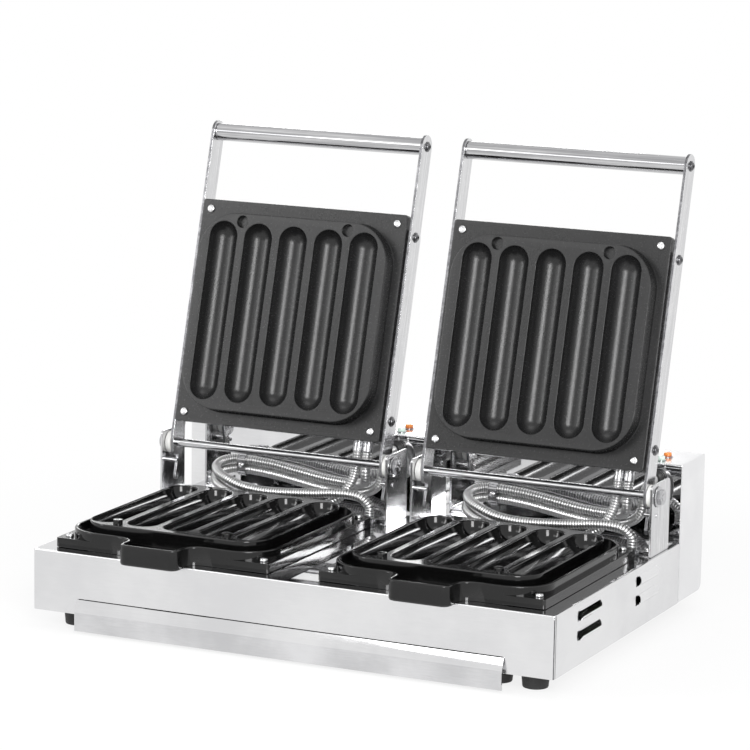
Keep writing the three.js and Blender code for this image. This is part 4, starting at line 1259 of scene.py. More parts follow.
@dataclass
class ControlBox:
    """The raised box along the back, its removable panel and its mains gland."""

    shop: Workshop
    half: float = 290.0
    front: float = 345.9
    back: float = 416.0
    low: float = 19.0
    high: float = 167.0
    sheet: float = 1.5
    bend: float = 1.8
    toe: float = 9.0
    over: float = 5.0
    lamp: tuple[float, float, float, float] = (111.0, 379.0, 359.0, 4.5)
    spindle: tuple[float, float, float] = (40.0, 380.5, 3.3)
    box_hole: tuple[float, float, float] = (112.0, 151.0, 3.2)
    mains: tuple[float, float] = (215.0, 53.0)
    vents: int = 6
    vent_length: float = 34.0
    vent_height: float = 4.0
    vent_pitch: float = 9.0
    vent_low: float = 78.5
    passage_top: float = 67.0
    mains_hole: float = 7.05
    mains_ribs: int = 16
    screw_xs: tuple[float, float, float] = (20.0, 140.0, 278.0)
    screw_zs: tuple[float, float] = (30.0, 155.0)

    def _side(self, inset: float) -> list[Flat]:
        """Draws the box from its side, drawn in all round but at the back."""
        d, toe, bend = inset, self.toe, self.bend
        side = Outline().to(self.front + d, self.low + d)
        side.arc(self.back - toe, self.low + toe, toe - d, 270, 360, 8)
        side.arc(self.back - bend, self.high - bend, bend - d, 0, 90, 5)
        return side.arc(self.front + bend, self.high - bend, bend - d, 90, 180, 5).points

    def build(self) -> None:
        """Builds the box, the panel and the gland, and hands them over."""
        half, sheet, over = self.half, self.sheet, self.over
        ends = [(1.2, 0.0), (0.35, 0.35), (0.0, 1.2)]
        layers = [(d, -half + x) for d, x in ends] + [(d, half - x) for d, x in reversed(ends)]
        shell = Solid.stack([(self._side(d), x) for d, x in layers]).placed(ALONG_X)
        inner, top = half - sheet, self.high - sheet
        shell.cut(Solid.block((-inner, self.front + sheet, self.low - over), (inner, self.back + over, top)))
        near, far = self.front - over, self.front + over
        shell.cut(Solid.block((-half / 2, near, self.low - over), (half / 2, far, self.passage_top)))
        x, z, radius = self.box_hole
        for hinge in self.shop.hinges.values():
            hole = Solid.prism(circle(radius, z, hinge.x + x, 24), self.front - over, self.front + over)
            shell.cut(hole.placed(ALONG_Y))
            lamp_x, amber, green, lamp_radius = self.lamp
            for a, b, r in ((lamp_x, amber, lamp_radius), (lamp_x, green, lamp_radius), self.spindle):
                shell.cut(Solid.prism(circle(r, hinge.x + a, b, 32), top - over, top + over))
        shell.eased(0.2, 1, 50.0)
        finishes, base = self.shop.finishes, self.shop.base
        box = shell.piece("control_box_shell", base, finishes.box, "base", "case_steel", "control_box", sharp=30.0)
        polish(box, finishes.deck, lambda normal, spot: normal.y < -0.99)
        self._panel()
        self._gland()

    def _panel(self) -> None:
        """Builds the back panel with its vents and screws."""
        edge, far = self.half - self.sheet - GAP, self.back - GAP
        low, high = self.low + GAP, self.high - self.sheet - GAP
        panel = Solid.block((-edge, far - self.sheet, low), (edge, far, high))
        slot = stadium(self.vent_height / 2, self.vent_length - self.vent_height, 8)
        for hinge in self.shop.hinges.values():
            cutter = Solid.prism([(a, b + hinge.x) for a, b in slot], far - self.over, far + self.over).placed(ALONG_Y)
            middle = self.vent_low + self.vent_pitch * (self.vents - 1) / 2 + self.vent_height / 2
            row = self.shop.rows.row(cutter, self.vents, (0, 0, self.vent_pitch), self.shop.finishes.front)
            panel.cut(row.moved(0, 0, middle))
        x, z = self.mains
        panel.cut(Solid.prism(circle(self.mains_hole, z, x), far - self.over, far + self.over).placed(ALONG_Y))
        panel.eased(0.25, 2, 50.0)
        finishes, base = self.shop.finishes, self.shop.base
        panel.piece("back_panel_sheet", base, finishes.box, "base", "case_steel", "rear_panel", sharp=30.0)
        seats = [(side * a, far, z) for side in (-1, 1) for a in self.screw_xs for z in self.screw_zs]
        self.shop.fasten("back_panel_screws", PanScrew(3.6, 2.2), seats, Facing.BACK, base, "base")

    def _gland(self) -> None:
        """Builds the cable gland: a flange nut, a ribbed cap and a bore."""
        x, z = self.mains
        profile = [(4.5, -5), (6.6, -5), (6.6, 0), (9, 0), (9, 0.8), (8.8, 1.0), (8.8, 4.0), (8.4, 4.7), (7.6, 4.9)]
        profile += [(7.6, 10.0), (7.0, 11.6), (5.4, 13.6), (5.0, 14.0), (4.6, 13.8)]
        gland = Solid.turned(profile, 48)
        rib = Solid.prism(rounded_box(0.8, 1.2, 0.3, 0, 7.6, 3), 5.2, 10.2)
        for step in range(self.mains_ribs):
            gland.beside(rib.copy().placed(Matrix.Rotation(math.tau * step / self.mains_ribs, 4, "Z")))
        gland.placed(turn_x(-90)).moved(x, self.back, z)
        finish = self.shop.finishes.gland
        gland.piece("mains_gland_cap", self.shop.base, finish, "base", "gland_black", "mains_gland", sharp=40.0)


@dataclass
class Controls(Fitting):
    """Lamps and thermostat knobs of one station, on top of the control box."""

    top: float = 167.0
    lamp_x: float = 111.0
    amber_y: float = 379.0
    green_y: float = 359.0
    lens: float = 4.4
    bezel: float = 5.6
    knob: tuple[float, float] = (40.0, 380.5)
    knob_radius: float = 15.0
    knob_height: float = 16.3
    skirt: float = 18.0
    grips: int = 6
    marks: int = 11
    sweep: float = 270.0

    def build(self) -> None:
        """Builds the lamps, the knob and its dial marks, and hands them over."""
        finishes = self.shop.finishes
        self._lamp("heating", self.amber_y, finishes.amber, "amber_lens")
        self._lamp("power", self.green_y, finishes.green, "green_lens")
        self._knob()

    def _lamp(self, use: str, y: float, finish: bpy.types.Material, slot: str) -> None:
        """Builds one lamp: a stepped lens in a bright bezel."""
        r, place, name = self.lens, self.fixed, f"{use}_lamp_{self.name}"
        profile = [
            (0, -12), (r, -12), (r, 1.2), (r * 0.97, 3.6), (r * 0.93, 4.5), (r * 0.84, 4.9), (r * 0.6, 5.1), (0, 5.2)]
        lens = Solid.turned(profile, 40).moved(self.lamp_x, y, self.top)
        lens.piece(f"{use}_lens_{self.name}", place, finish, "base", slot, name, sharp=50.0)
        b = self.bezel
        ring = [(r + 0.02, 0.3), (b, 0.3), (b, 0.5), (b - 0.3, 0.8), (b - 0.6, 0.9), (r + 0.3, 0.9), (r + 0.02, 0.7)]
        bezel = Solid.turned(ring, 40).moved(self.lamp_x, y, self.top)
        bezel.piece(f"{use}_bezel_{self.name}", place, self.shop.finishes.rod, "base", "bright_steel", sharp=40.0)

    def _knob(self) -> None:
        """Builds the fluted knob, its pointer and the marks on its skirt."""
        k, s, h = self.knob_radius, self.skirt, self.knob_height
        profile = [(3.3, 0.3), (s - 0.4, 0.3), (s, 0.8), (s, 2.4), (s - 0.7, 3.1), (k + 0.6, 3.4), (k, 4.2)]
        profile += [
            (k - 0.4, h - 1.6), (k - 0.9, h - 0.5), (k - 2.0, h), (k - 3.5, h - 0.25), (0.3, h - 0.25), (0.2, 9.6),
            (3.3, 9.3)]
        knob = Solid.turned(profile, 72)
        for step in range(self.grips):
            turn = math.tau * (step + 0.5) / self.grips
            flute = circle(3.3, (k + 1.6) * math.cos(turn), (k + 1.6) * math.sin(turn), 32)
            knob.cut(Solid.prism(flute, 4.4, h + 5))
        knob.eased(0.35, 2, 40.0)
        x, y = self.knob
        place = self.fixed @ Matrix.Translation((x, y, self.top))
        body = f"knob_{self.name}"
        node = f"thermostat_knob_{self.name}"
        knob.piece(f"dial_grip_{self.name}", place, self.shop.finishes.knob, body, "knob_black", node, sharp=35.0)
        marks = Solid.prism(rounded_box(1.5, 10.0, 0.6, 0, -8.0, 3), h - 0.5, h + 0.15)
        for step in range(self.marks):
            turn = Matrix.Rotation(math.radians(self.sweep * (step / (self.marks - 1) - 0.5)), 4, "Z")
            marks.beside(Solid.prism(rounded_box(0.7, 1.5, 0.2, 0, -16.4, 2), 3.0, 3.42).placed(turn))
        marks.piece(f"dial_marks_{self.name}", place, self.shop.finishes.mark, body, "knob_black")


# Castings


def mould_cutter(radius: float, straight: float, lip: float, over: float = 4.0) -> Solid:
    """Builds what a mould takes out of a face at height 0: half round, with round ends and an eased lip.

    Args:
        radius: the mould's radius.
        straight: the length between the middles of its round ends.
        lip: the radius of the eased edge.
        over: how far the cutter stands above the face.

    Returns:
        The cutter.
    """
    layers = [(stadium(radius + lip, straight), over)]
    for step in range(5):
        turn = math.radians(22.5 * step)
        layers.append((stadium(radius + lip - lip * math.sin(turn), straight), lip * math.cos(turn) - lip))
    start = math.asin(lip / radius)
    for step in range(1, 15):
        turn = start + (math.pi / 2 - start) * step / 14
        layers.append((stadium(radius * math.cos(turn), straight), -radius * math.sin(turn)))
    return Solid.stack(layers)


@dataclass
class Casting(Fitting):
    """What both castings of a station share: a square flange and five moulds."""

    size: float = 245.0
    flange: float = 10.0
    corner: float = 3.0
    moulds: int = 5
    pitch: float = 42.0
    radius: float = 16.5
    straight: float = 162.0
    lip: float = 0.8
    pin_x: float = 63.0
    pin_y: float = 98.5
    screw_inset: float = 10.5

    def slab(self, low: float) -> Solid:
        """Builds the flange from a height up, with eased edges."""
        layers = [(0.8, low), (0.2, low + 0.25), (0.0, low + 0.8), (0.0, low + self.flange - 0.8)]
        layers += [(0.2, low + self.flange - 0.25), (0.8, low + self.flange)]
        return Solid.stack([(rounded_box(self.size - 2 * d, self.size - 2 * d, self.corner), z) for d, z in layers])

    def moulded(self, body: Solid, face: float) -> Solid:
        """Cuts the row of moulds into a face."""
        cutter = mould_cutter(self.radius, self.straight, self.lip)
        row = self.shop.rows.row(cutter, self.moulds, (self.pitch, 0, 0), self.shop.finishes.lower)
        return body.cut(row.moved(0, 0, face))

    def corners(self, height: float) -> list[tuple[float, float, float]]:
        """Gives the places of the four corner screws."""
        reach = self.size / 2 - self.screw_inset
        return [(a * reach, b * reach, height) for a in (-1, 1) for b in (-1, 1)]


@dataclass
class LowerPlate(Casting):
    """The lower casting: a tub with an overflow spout round a raised block with the moulds."""

    middle: float = 138.5
    seat: float = 83.3
    rim_width: float = 234.0
    rim_high: float = 19.0
    rim_wall: float = 4.0
    rim_corner: float = 40.0
    moat: float = 8.0
    spout: float = 67.0
    reach: float = 31.0
    nose: float = 9.0
    flare: float = 26.0
    chin: float = 15.6
    drop: float = 2.6
    block: tuple[float, float, float] = (206.0, 216.0, 30.0)
    block_high: float = 26.0
    pin_radius: float = 5.0
    pin_rise: float = 5.0
    lip: float = 1.6

    def _rim(self, inset: float) -> list[Flat]:
        """Draws the tub and its spout from above, drawn in all round."""
        half, front, rear = self.rim_width / 2 - inset, -self.size / 2 + inset, self.size / 2 - inset
        corner, spout, nose = self.rim_corner - inset, self.spout / 2 - inset, max(self.nose - inset, 1.0)
        tip, flare = front - self.reach, self.flare
        rim = Outline().arc(-half + corner, front + corner, corner, 180, 270, 12)
        rim.to(-spout - flare, front)
        rim.curve((-spout - flare / 4, front), (-spout, front - flare / 8), (-spout, front - flare * 0.75))
        rim.arc(-spout + nose, tip + nose, nose, 180, 270, 8).arc(spout - nose, tip + nose, nose, 270, 360, 8)
        rim.to(spout, front - flare * 0.75)
        rim.curve((spout, front - flare / 8), (spout + flare / 4, front), (spout + flare, front))
        rim.arc(half - corner, front + corner, corner, 270, 360, 12)
        rim.arc(half - corner, rear - corner, corner, 0, 90, 12)
        return rim.arc(-half + corner, rear - corner, corner, 90, 180, 12).points

    def _chin(self, inset: float) -> list[Flat]:
        """Draws the underside of the spout, which hangs in front of the case."""
        half, tip, nose = self.spout / 2 - inset, -self.size / 2 - self.reach + inset, self.nose - inset
        rear = -self.size / 2 - self.chin - 1.0
        chin = Outline().to(-half, rear).arc(-half + nose, tip + nose, nose, 180, 270, 8)
        return chin.arc(half - nose, tip + nose, nose, 270, 360, 8).to(half, rear).points

    def build(self) -> None:
        """Builds the casting with its pins and screws, and hands it over."""
        high, wall, moat = self.rim_high, self.rim_wall, self.moat
        layers = [(0.0, 0.0), (0.0, high - 1.7), (0.25, high - 0.85), (0.85, high - 0.25), (1.7, high)]
        layers += [(wall - 1.5, high), (wall - 0.7, high - 0.25), (wall - 0.2, high - 0.8), (wall, high - 1.6)]
        layers += [(wall + 0.3, moat + 2.4), (wall + 0.9, moat + 1.0), (wall + 2.4, moat)]
        plate = self.slab(0.0).join(Solid.stack([(self._rim(d), z) for d, z in layers]))
        under = [(2.2, -self.drop), (0.65, -self.drop + 0.65), (0.0, -self.drop + 2.2), (0.0, 6.0)]
        plate.join(Solid.stack([(self._chin(d), z) for d, z in under]))
        width, length, corner = self.block
        rise = [
            (-1.8, moat - 0.5), (-1.1, moat + 0.3), (-0.4, moat + 1.0), (0.0, moat + 2.2), (0.3, self.block_high - 1.6)]
        rise += [(0.5, self.block_high - 0.8), (0.9, self.block_high - 0.25), (1.5, self.block_high)]
        top = [(rounded_box(width - 2 * d, length - 2 * d, corner - d, steps=12), z) for d, z in rise]
        self.moulded(plate.join(Solid.stack(top)), self.block_high)
        r, head = self.pin_radius, self.block_high + self.pin_rise
        profile = [(0, self.block_high - 5), (r, self.block_high - 5), (r, head - 0.8), (r - 0.25, head - 0.25)]
        profile += [(r - 0.8, head), (1.2, head), (0.9, head - 0.4), (0, head - 0.5)]
        for sign in (-1, 1):
            plate.join(Solid.turned(profile, 32).moved(sign * self.pin_x, -self.pin_y, 0))
        name, shop = self.name, self.shop
        place = shop.station(self.side) @ Matrix.Translation((0.0, self.middle, self.seat))
        plate.piece(
            f"lower_casting_{name}", place, shop.finishes.lower, "base", "lower_casting", f"lower_plate_{name}",
            sharp=28.0)
        shop.fasten(
            f"lower_plate_screws_{name}", PanScrew(4.2, 3.4), self.corners(self.flange), Facing.UP, place, "base")


@dataclass
class UpperPlate(Casting):
    """The upper casting, worked with its moulds upwards: a flange and a raised pad."""

    middle: float = -145.5
    face: float = -35.2
    pad: tuple[float, float, float] = (226.0, 216.0, 45.0)
    pad_thick: float = 18.0
    socket: float = 6.5
    socket_depth: float = 6.0

    def build(self) -> None:
        """Builds the casting with its sockets and screws, and hands it over."""
        plate = self.slab(-self.pad_thick - self.flange)
        width, length, corner = self.pad
        rise = [
            (-1.6, -18.4), (-0.9, -17.6), (-0.3, -16.8), (0.0, -15.6), (0.2, -1.6), (0.35, -0.8), (0.8, -0.25),
            (1.5, 0.0)]
        pad = [(rounded_box(width - 2 * d, length - 2 * d, corner - d, steps=16), z) for d, z in rise]
        self.moulded(plate.join(Solid.stack(pad)), 0.0)
        r, depth = self.socket, self.socket_depth
        profile = [
            (0, -depth), (r - 0.8, -depth), (r, -depth + 0.8), (r, -0.7), (r + 0.25, -0.2), (r + 0.8, 0.05),
            (r + 0.8, 3), (0, 3)]
        for sign in (-1, 1):
            plate.cut(Solid.turned(profile, 40).moved(sign * self.pin_x, self.pin_y, 0))
        name, shop = self.name, self.shop
        place = shop.head(self.side) @ Matrix.Translation((0.0, self.middle, self.face)) @ turn_x(180)
        body = f"head_{name}"
        plate.piece(
            f"upper_casting_{name}", place, shop.finishes.upper, body, "upper_casting", f"upper_plate_{name}",
            sharp=28.0)
        shop.fasten(f"upper_plate_screws_{name}", PanScrew(), self.corners(-self.pad_thick), Facing.UP, place, body)


# Hinges


@dataclass
class Station(Fitting):
    """The fixed hinge pieces of one head: uprights, shaft, spacers and the conduits' fixed glands."""

    hinge_y: float = 284.0
    hinge_z: float = 145.0
    deck: float = 83.0
    inner: float = 134.0
    sheet: float = 2.5
    upright: tuple[float, float] = (52.0, 159.0)
    lead: float = 16.5
    foot: tuple[float, float] = (18.0, 32.0)
    stop: tuple[float, float, float, float] = (2.25, 2.5, 19.5, 11.0)
    shaft: float = 4.5
    hole: float = 4.8
    spacer: tuple[float, float, float] = (11.8, 127.5, 133.7)
    washer: tuple[float, float] = (11.0, 2.0)
    nut: tuple[float, float] = (15.0, 5.0)
    deck_gland: tuple[float, float, float] = (113.0, 275.0, 5.0)
    box_gland: tuple[float, float, float] = (112.0, 345.0, 8.0)
    box_gland_rise: float = 68.0

    def build(self) -> None:
        """Builds every fixed hinge piece of the station and hands it over."""
        for end in End:
            self._upright(end)
            self._spacer(end)
        self._shaft()
        self._glands()

    def _upright(self, end: End) -> None:
        """Builds an upright: a folded bracket with a foot, a stop pin and the shaft's hole."""
        depth, high = self.upright
        near, sheet, base = self.inner, self.sheet, self.deck + GAP
        y0 = self.hinge_y - self.lead
        outline = Outline().arc(y0 + 2, base + 2, 2, 180, 270, 4).arc(y0 + depth - 2, base + 2, 2, 270, 360, 4)
        outline.arc(y0 + depth - 4, high - 4, 4, 0, 90, 6).arc(y0 + 4, high - 4, 4, 90, 180, 6)
        wall = Solid.prism(outline.points, near, near + sheet).placed(ALONG_X)
        wide, long = self.foot
        foot_y = y0 + (depth - long) * 0.8
        bend = Outline().to(near - wide, base).to(near + sheet / 2, base).to(near + sheet / 2, base + sheet + 3)
        bend.to(near, base + sheet + 3).arc(near - 3, base + sheet + 3, 3, 0, -90, 6)
        bend.to(near - wide, base + sheet)
        wall.join(Solid.prism([(b, a) for a, b in reversed(bend.points)], foot_y, foot_y + long).placed(ALONG_Y))
        r, lead, drop, reach = self.stop
        profile = [
            (0, 0), (r - 0.4, 0), (r, 0.4), (r, reach + sheet + 0.8), (r * 0.7, reach + sheet + 1.4),
            (0, reach + sheet + 1.5)]
        pin = Solid.turned(profile, 28).placed(ALONG_X).moved(near - reach, self.hinge_y - lead, self.hinge_z - drop)
        wall.join(pin)
        wall.cut(Solid.prism(circle(self.hole, self.hinge_y, self.hinge_z), near - 5, near + 8).placed(ALONG_X))
        wall.placed(Matrix.Diagonal((end.sign, 1, 1, 1))).eased(0.3, 2, 40.0)
        name = f"{self.name}_{end.value}"
        place = self.fixed
        wall.piece(
            f"hinge_bracket_{name}", place, self.shop.finishes.bracket, "base", "bright_steel", f"upright_{name}",
            sharp=35.0)
        bolts = [(end.sign * (near - wide / 2 - 1), foot_y + long * share, base + sheet) for share in (0.25, 0.75)]
        self.shop.fasten(f"bracket_bolts_{name}", PanScrew(3.6, 2.4), bolts, Facing.UP, place, "base")

    def _spacer(self, end: End) -> None:
        """Builds the white disc between an arm and its upright."""
        r, near, far = self.spacer
        hole = self.hole
        profile = [(hole, near + 0.3), (hole + 0.3, near), (r - 0.7, near), (r - 0.2, near + 0.2), (r, near + 0.7)]
        profile += [(r, far - 0.7), (r - 0.2, far - 0.2), (r - 0.7, far), (hole + 0.3, far), (hole, far - 0.3)]
        disc = Solid.turned(profile, 64).placed(ALONG_X).moved(0, self.hinge_y, self.hinge_z)
        disc.placed(Matrix.Diagonal((end.sign, 1, 1, 1)))
        name = f"{self.name}_{end.value}"
        place, finish = self.fixed, self.shop.finishes.nylon
        disc.piece(f"spacer_disc_{name}", place, finish, "base", "spacer_white", f"spacer_{name}", sharp=35.0)

    def _shaft(self) -> None:
        """Builds the hinge shaft with a dished washer and a hexagon nut at each end."""
        seat = self.inner + self.sheet + GAP
        wide, thick = self.washer
        across, tall = self.nut
        r, end = self.shaft, seat + thick + tall
        half = [(r, end - 0.7), (r - 0.8, end), (0, end - 0.2)]
        rod = Solid.turned([*((radius, -x) for radius, x in reversed(half)), *half], 40)
        corner = across / math.sqrt(3)
        for flip in (Matrix.Identity(4), Matrix.Diagonal((1, 1, -1, 1))):
            lip = [
                (r - 0.2, seat), (wide - 0.3, seat), (wide, seat + 0.4), (wide - 0.1, seat + 1.1),
                (wide - 0.9, seat + 1.6)]
            rod.join(Solid.turned([*lip, (wide - 3, seat + thick), (r - 0.2, seat + thick)], 48).placed(flip))
            nut = Solid.prism(circle(corner, steps=HEXAGON), seat + thick - 0.1, end - 0.8)
            cone = [
                (0, seat + 1), (corner + 0.1, seat + 1), (corner + 0.1, end - 2.1), (across / 2 - 0.4, end - 0.8),
                (0, end - 0.8)]
            rod.join(nut.trim(Solid.turned(cone, 48)).placed(flip))
        rod.placed(ALONG_X).moved(0, self.hinge_y, self.hinge_z)
        place, finish, name = self.fixed, self.shop.finishes.rod, self.name
        rod.piece(f"shaft_with_nuts_{name}", place, finish, "base", "bright_steel", f"hinge_shaft_{name}", sharp=32.0)

    def _glands(self) -> None:
        """Builds the conduits' glands on the deck and on the control box."""
        place, finish, name = self.fixed, self.shop.finishes.rod, self.name
        x, y, tall = self.deck_gland
        base = self.deck + GAP
        self._gland(base, tall, 1.1).moved(x, y, 0).piece(
            f"deck_gland_nut_{name}", place, finish, "base", "bright_steel", f"deck_gland_{name}", sharp=32.0)
        x, y, tall = self.box_gland
        nut = self._boot(tall).placed(turn_x(90)).moved(x, y, self.deck + self.box_gland_rise)
        black = self.shop.finishes.gland
        nut.piece(f"box_gland_boot_{name}", place, black, "base", "gland_black", f"box_gland_{name}", sharp=32.0)

    @staticmethod
    def _boot(tall: float) -> Solid:
        """Builds the black gland on the control box: a flange and a ribbed boot with a bore."""
        profile = [(3.4, 0.0), (8.6, 0.0), (8.8, 0.3), (8.8, 1.6), (8.3, 2.0)]
        for rib in range(3):
            low = 2.2 + rib * 2.3
            profile += [
                (6.6, low), (6.6, low + 0.7), (8.0 - rib * 0.3, low + 0.9), (8.0 - rib * 0.3, low + 2.0),
                (7.4, low + 2.2)]
        return Solid.turned([*profile, (6.0, tall + 1.4), (3.7, tall + 1.4), (3.4, tall + 1.0)], 40)

    def _gland(self, base: float, tall: float, collar: float) -> Solid:
        """Builds a hexagon gland with a round collar and a bore."""
        radius, bore, end = 8.0, 3.4, base + tall
        nut = Solid.prism(circle(radius, steps=HEXAGON), base, end - collar)
        cone = [
            (0, base - 1), (radius + 0.1, base - 1), (radius + 0.1, end - collar - 0.9), (radius * 0.87, end - collar),
            (0, end - collar)]
        nut.trim(Solid.turned(cone, 48))
        rim = [
            (bore, end - collar - 0.1), (6.4, end - collar - 0.1), (6.4, end - 0.4), (6.0, end), (bore + 0.3, end),
            (bore, end - 0.3)]
        nut.join(Solid.prism(circle(6.4, steps=48), end - collar - 0.5, end - 0.4)).join(Solid.turned(rim, 48))
        return nut.cut(Solid.prism(circle(bore, steps=32), base - 5, end + 5))


@dataclass
class Conduits(Fitting):
    """The two ribbed conduits of a station; the stretch at the head is a piece of its own that rides on no body."""

    deck: float = 83.0
    radius: float = 5.3
    groove: float = 4.3
    pitch: float = 3.0
    sides: int = 20
    clip: tuple[float, float, float, float] = (-62.0, 322.0, 31.6, 10.8)
    mouth: tuple[float, float, float] = (-11.7, 12.0, 11.4)
    gland_x: float = 87.0
    sleeve: tuple[float, float, float] = (5.5, -24.7, 13.0)
    hinge: tuple[float, float] = (284.0, 145.0)
    tuck: float = 2.0
    box_mouth: tuple[float, float, float] = (112.0, 336.7, 68.0)
    deck_mouth: tuple[float, float, float] = (113.0, 275.0, 5.6)

    def build(self) -> None:
        """Builds both conduits, their strap and the sleeves on the head, and hands them over."""
        first = [
            (86.4, 292.4, 47), (83, 288, 35), (76, 282.5, 24), (62, 276, 14.5), (42, 271, 9.5), (15, 269, 8),
            (-15, 269, 8.5), (-38, 270, 12), (-58, 274, 17.5), (-75, 284, 22), (-84, 299, 26.5), (-81.5, 313.5, 30),
            (-72, 321.6, 31.6), (-62, 322, 31.6), (-52, 322, 31.6), (-25, 322, 29.5), (5, 322, 25),
            (35, 322, 20.5), (62, 321, 19), (85, 317, 21.5), (101, 311.5, 28.5), (110, 308, 38.5),
            (112, 308.5, 50), (112, 313.5, 60.5),
        ]
        second = [
            (98.4, 294.6, 50), (97, 298, 42), (91, 306.5, 35), (78, 316, 31), (60, 321, 30), (35, 322, 31.6),
            (5, 322, 36), (-25, 322, 40.5), (-52, 322, 42.4), (-62, 322, 42.4), (-72, 321.6, 42.4),
            (-81, 313.5, 41), (-83, 299, 37.8), (-74, 284.5, 34), (-58, 274.5, 30), (-40, 270.5, 25.2),
            (-20, 269.5, 22.7), (0, 269.5, 22.5), (25, 269.5, 24), (50, 270.3, 26), (73, 271.5, 28.5),
            (92, 273, 28.5), (104, 274, 26), (111, 274.8, 20),
        ]
        box_end = (self._above_deck(self.box_mouth), Vector((0, -1, 0)))
        deck_end = (self._above_deck(self.deck_mouth), Vector((0, 0, 1)))
        self._conduit("a", self.gland_x, first, box_end, split=3, start=12.0)
        self._conduit("b", self.gland_x + self.mouth[2], second, deck_end, split=4, start=30.0)
        self._strap()
        self._sleeves()

    def _above_deck(self, place: Sequence[float]) -> Vector:
        """Gives a place whose height counts from the deck."""
        return Vector((place[0], place[1], self.deck + place[2]))

    def _mouth(self, x: float) -> tuple[Vector, Vector]:
        """Gives the place and the direction of a sleeve's mouth while the head stands open."""
        y, z, _ = self.mouth
        turn = turn_x(-self.shop.open_angle)
        return turn @ Vector((x, y, z)) + Vector((0, *self.hinge)), turn @ Vector((0, 1, 0))

    def _conduit(
        self, end: str, x: float, route: Sequence[Sequence[float]], fixed: tuple[Vector, Vector],
        split: int, start: float,
    ) -> None:
        """Builds one conduit in two pieces that meet at one place of its route.

        Args:
            end: the conduit's letter.
            x: where its sleeve is on the head.
            route: the places that it is led through, with heights above the deck, from the head on.
            fixed: the place and direction of its fixed end.
            split: the place of the route where the pieces meet.
            start: a height above the deck at the head's stretch; the place that it sets is not used further.
        """
        mouth, out = self._mouth(x)
        runs = [0.0, self.radius, 2 * self.radius]
        points = [mouth + out * run for run in runs]
        points += [self._above_deck(spot) for spot in route]
        points += [fixed[0] + fixed[1] * run for run in reversed(runs)]
        points[0] = mouth - out * self.tuck
        points[-1] = fixed[0] - fixed[1] * self.tuck
        fine = smooth_line(points)
        cut = (split + len(runs)) * STEPS_BETWEEN_POINTS
        values = {"Radius": self.radius, "Groove": self.groove, "Pitch": self.pitch, "Sides": self.sides}
        values["Material"] = self.shop.finishes.conduit
        name, place = self.name, self.fixed
        node, head = f"conduit_{name}_{end}", f"head_{name}"
        moving = self.shop.hoses.hose(list(reversed(fine[: cut + 1])), values)
        moving = moving.piece(
            f"conduit_bend_{name}_{end}", place, self.shop.finishes.conduit, None, "conduit_steel", node, sharp=180.0)
        low, high = fine[cut].copy(), mouth
        low.z = self.deck + start
        tuple(place @ low * MM)
        tuple(place @ high * MM)
        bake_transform(moving)
        still = self.shop.hoses.hose(fine[cut:], values)
        still.piece(
            f"conduit_run_{name}_{end}", place, self.shop.finishes.conduit, "base", "conduit_steel", node, sharp=180.0)

    def _strap(self) -> None:
        """Builds the strap round both conduits with its tightening screw."""
        x, y, low, pitch = self.clip
        near, wall, half = self.radius + GAP, 1.4, 5.0
        middle = self.deck + low + pitch / 2

        def loop(radius: float) -> list[Flat]:
            return [(y + a, middle + b) for a, b in stadium(radius, pitch, 16)]

        rims = [
            (near + wall - 0.4, x - half), (near + wall, x - half + 0.4), (near + wall, x + half - 0.4),
            (near + wall - 0.4, x + half)]
        strap = Solid.stack([(loop(r), z) for r, z in rims]).placed(ALONG_X)
        strap.cut(Solid.prism(loop(near), x - 9, x + 9).placed(ALONG_X))
        name, place = self.name, self.fixed
        finish = self.shop.finishes.rod
        strap.piece(f"strap_{name}", place, finish, "base", "bright_steel", f"conduit_clip_{name}", sharp=35.0)
        seat = (x, y - near - wall + 0.3, middle)
        self.shop.fasten(f"strap_screw_{name}", PanScrew(3.2, 2.2), [seat], Facing.FRONT, place, "base")

    def _sleeves(self) -> None:
        """Builds the plate on the heater cover with the two sleeves that hold the conduits."""
        radius, seat, long = self.sleeve
        pitch, rise = self.mouth[2], self.mouth[1]
        margin, near, far = radius + 3.0, self.gland_x, self.gland_x + pitch
        wide, middle = pitch + 2 * margin, (near + far) / 2
        outline = [(b, a) for a, b in reversed(rounded_box(wide, 2 * margin, 2.0, middle, rise))]
        plate = Solid.prism(outline, seat, seat + 1.5).placed(ALONG_Y)
        end = seat + long
        profile = [
            (3.6, seat), (radius, seat), (radius, seat + 5.4), (radius - 0.35, seat + 5.7), (radius - 0.35, seat + 6.6)]
        profile += [
            (radius, seat + 6.9), (radius, end - 1.6), (radius - 0.4, end - 0.5), (radius - 0.8, end), (3.7, end)]
        for x in (near, far):
            plate.join(Solid.turned(profile, 40).placed(ALONG_Y).moved(x, 0, rise))
            plate.cut(Solid.prism(circle(3.6, rise, x, 32), seat - 5, end - 2.5).placed(ALONG_Y))
        name, place, body = self.name, self.shop.head(self.side), f"head_{self.name}"
        plate.piece(
            f"conduit_sleeves_{name}", place, self.shop.finishes.rod, body, "bright_steel", f"head_gland_{name}",
            sharp=32.0)


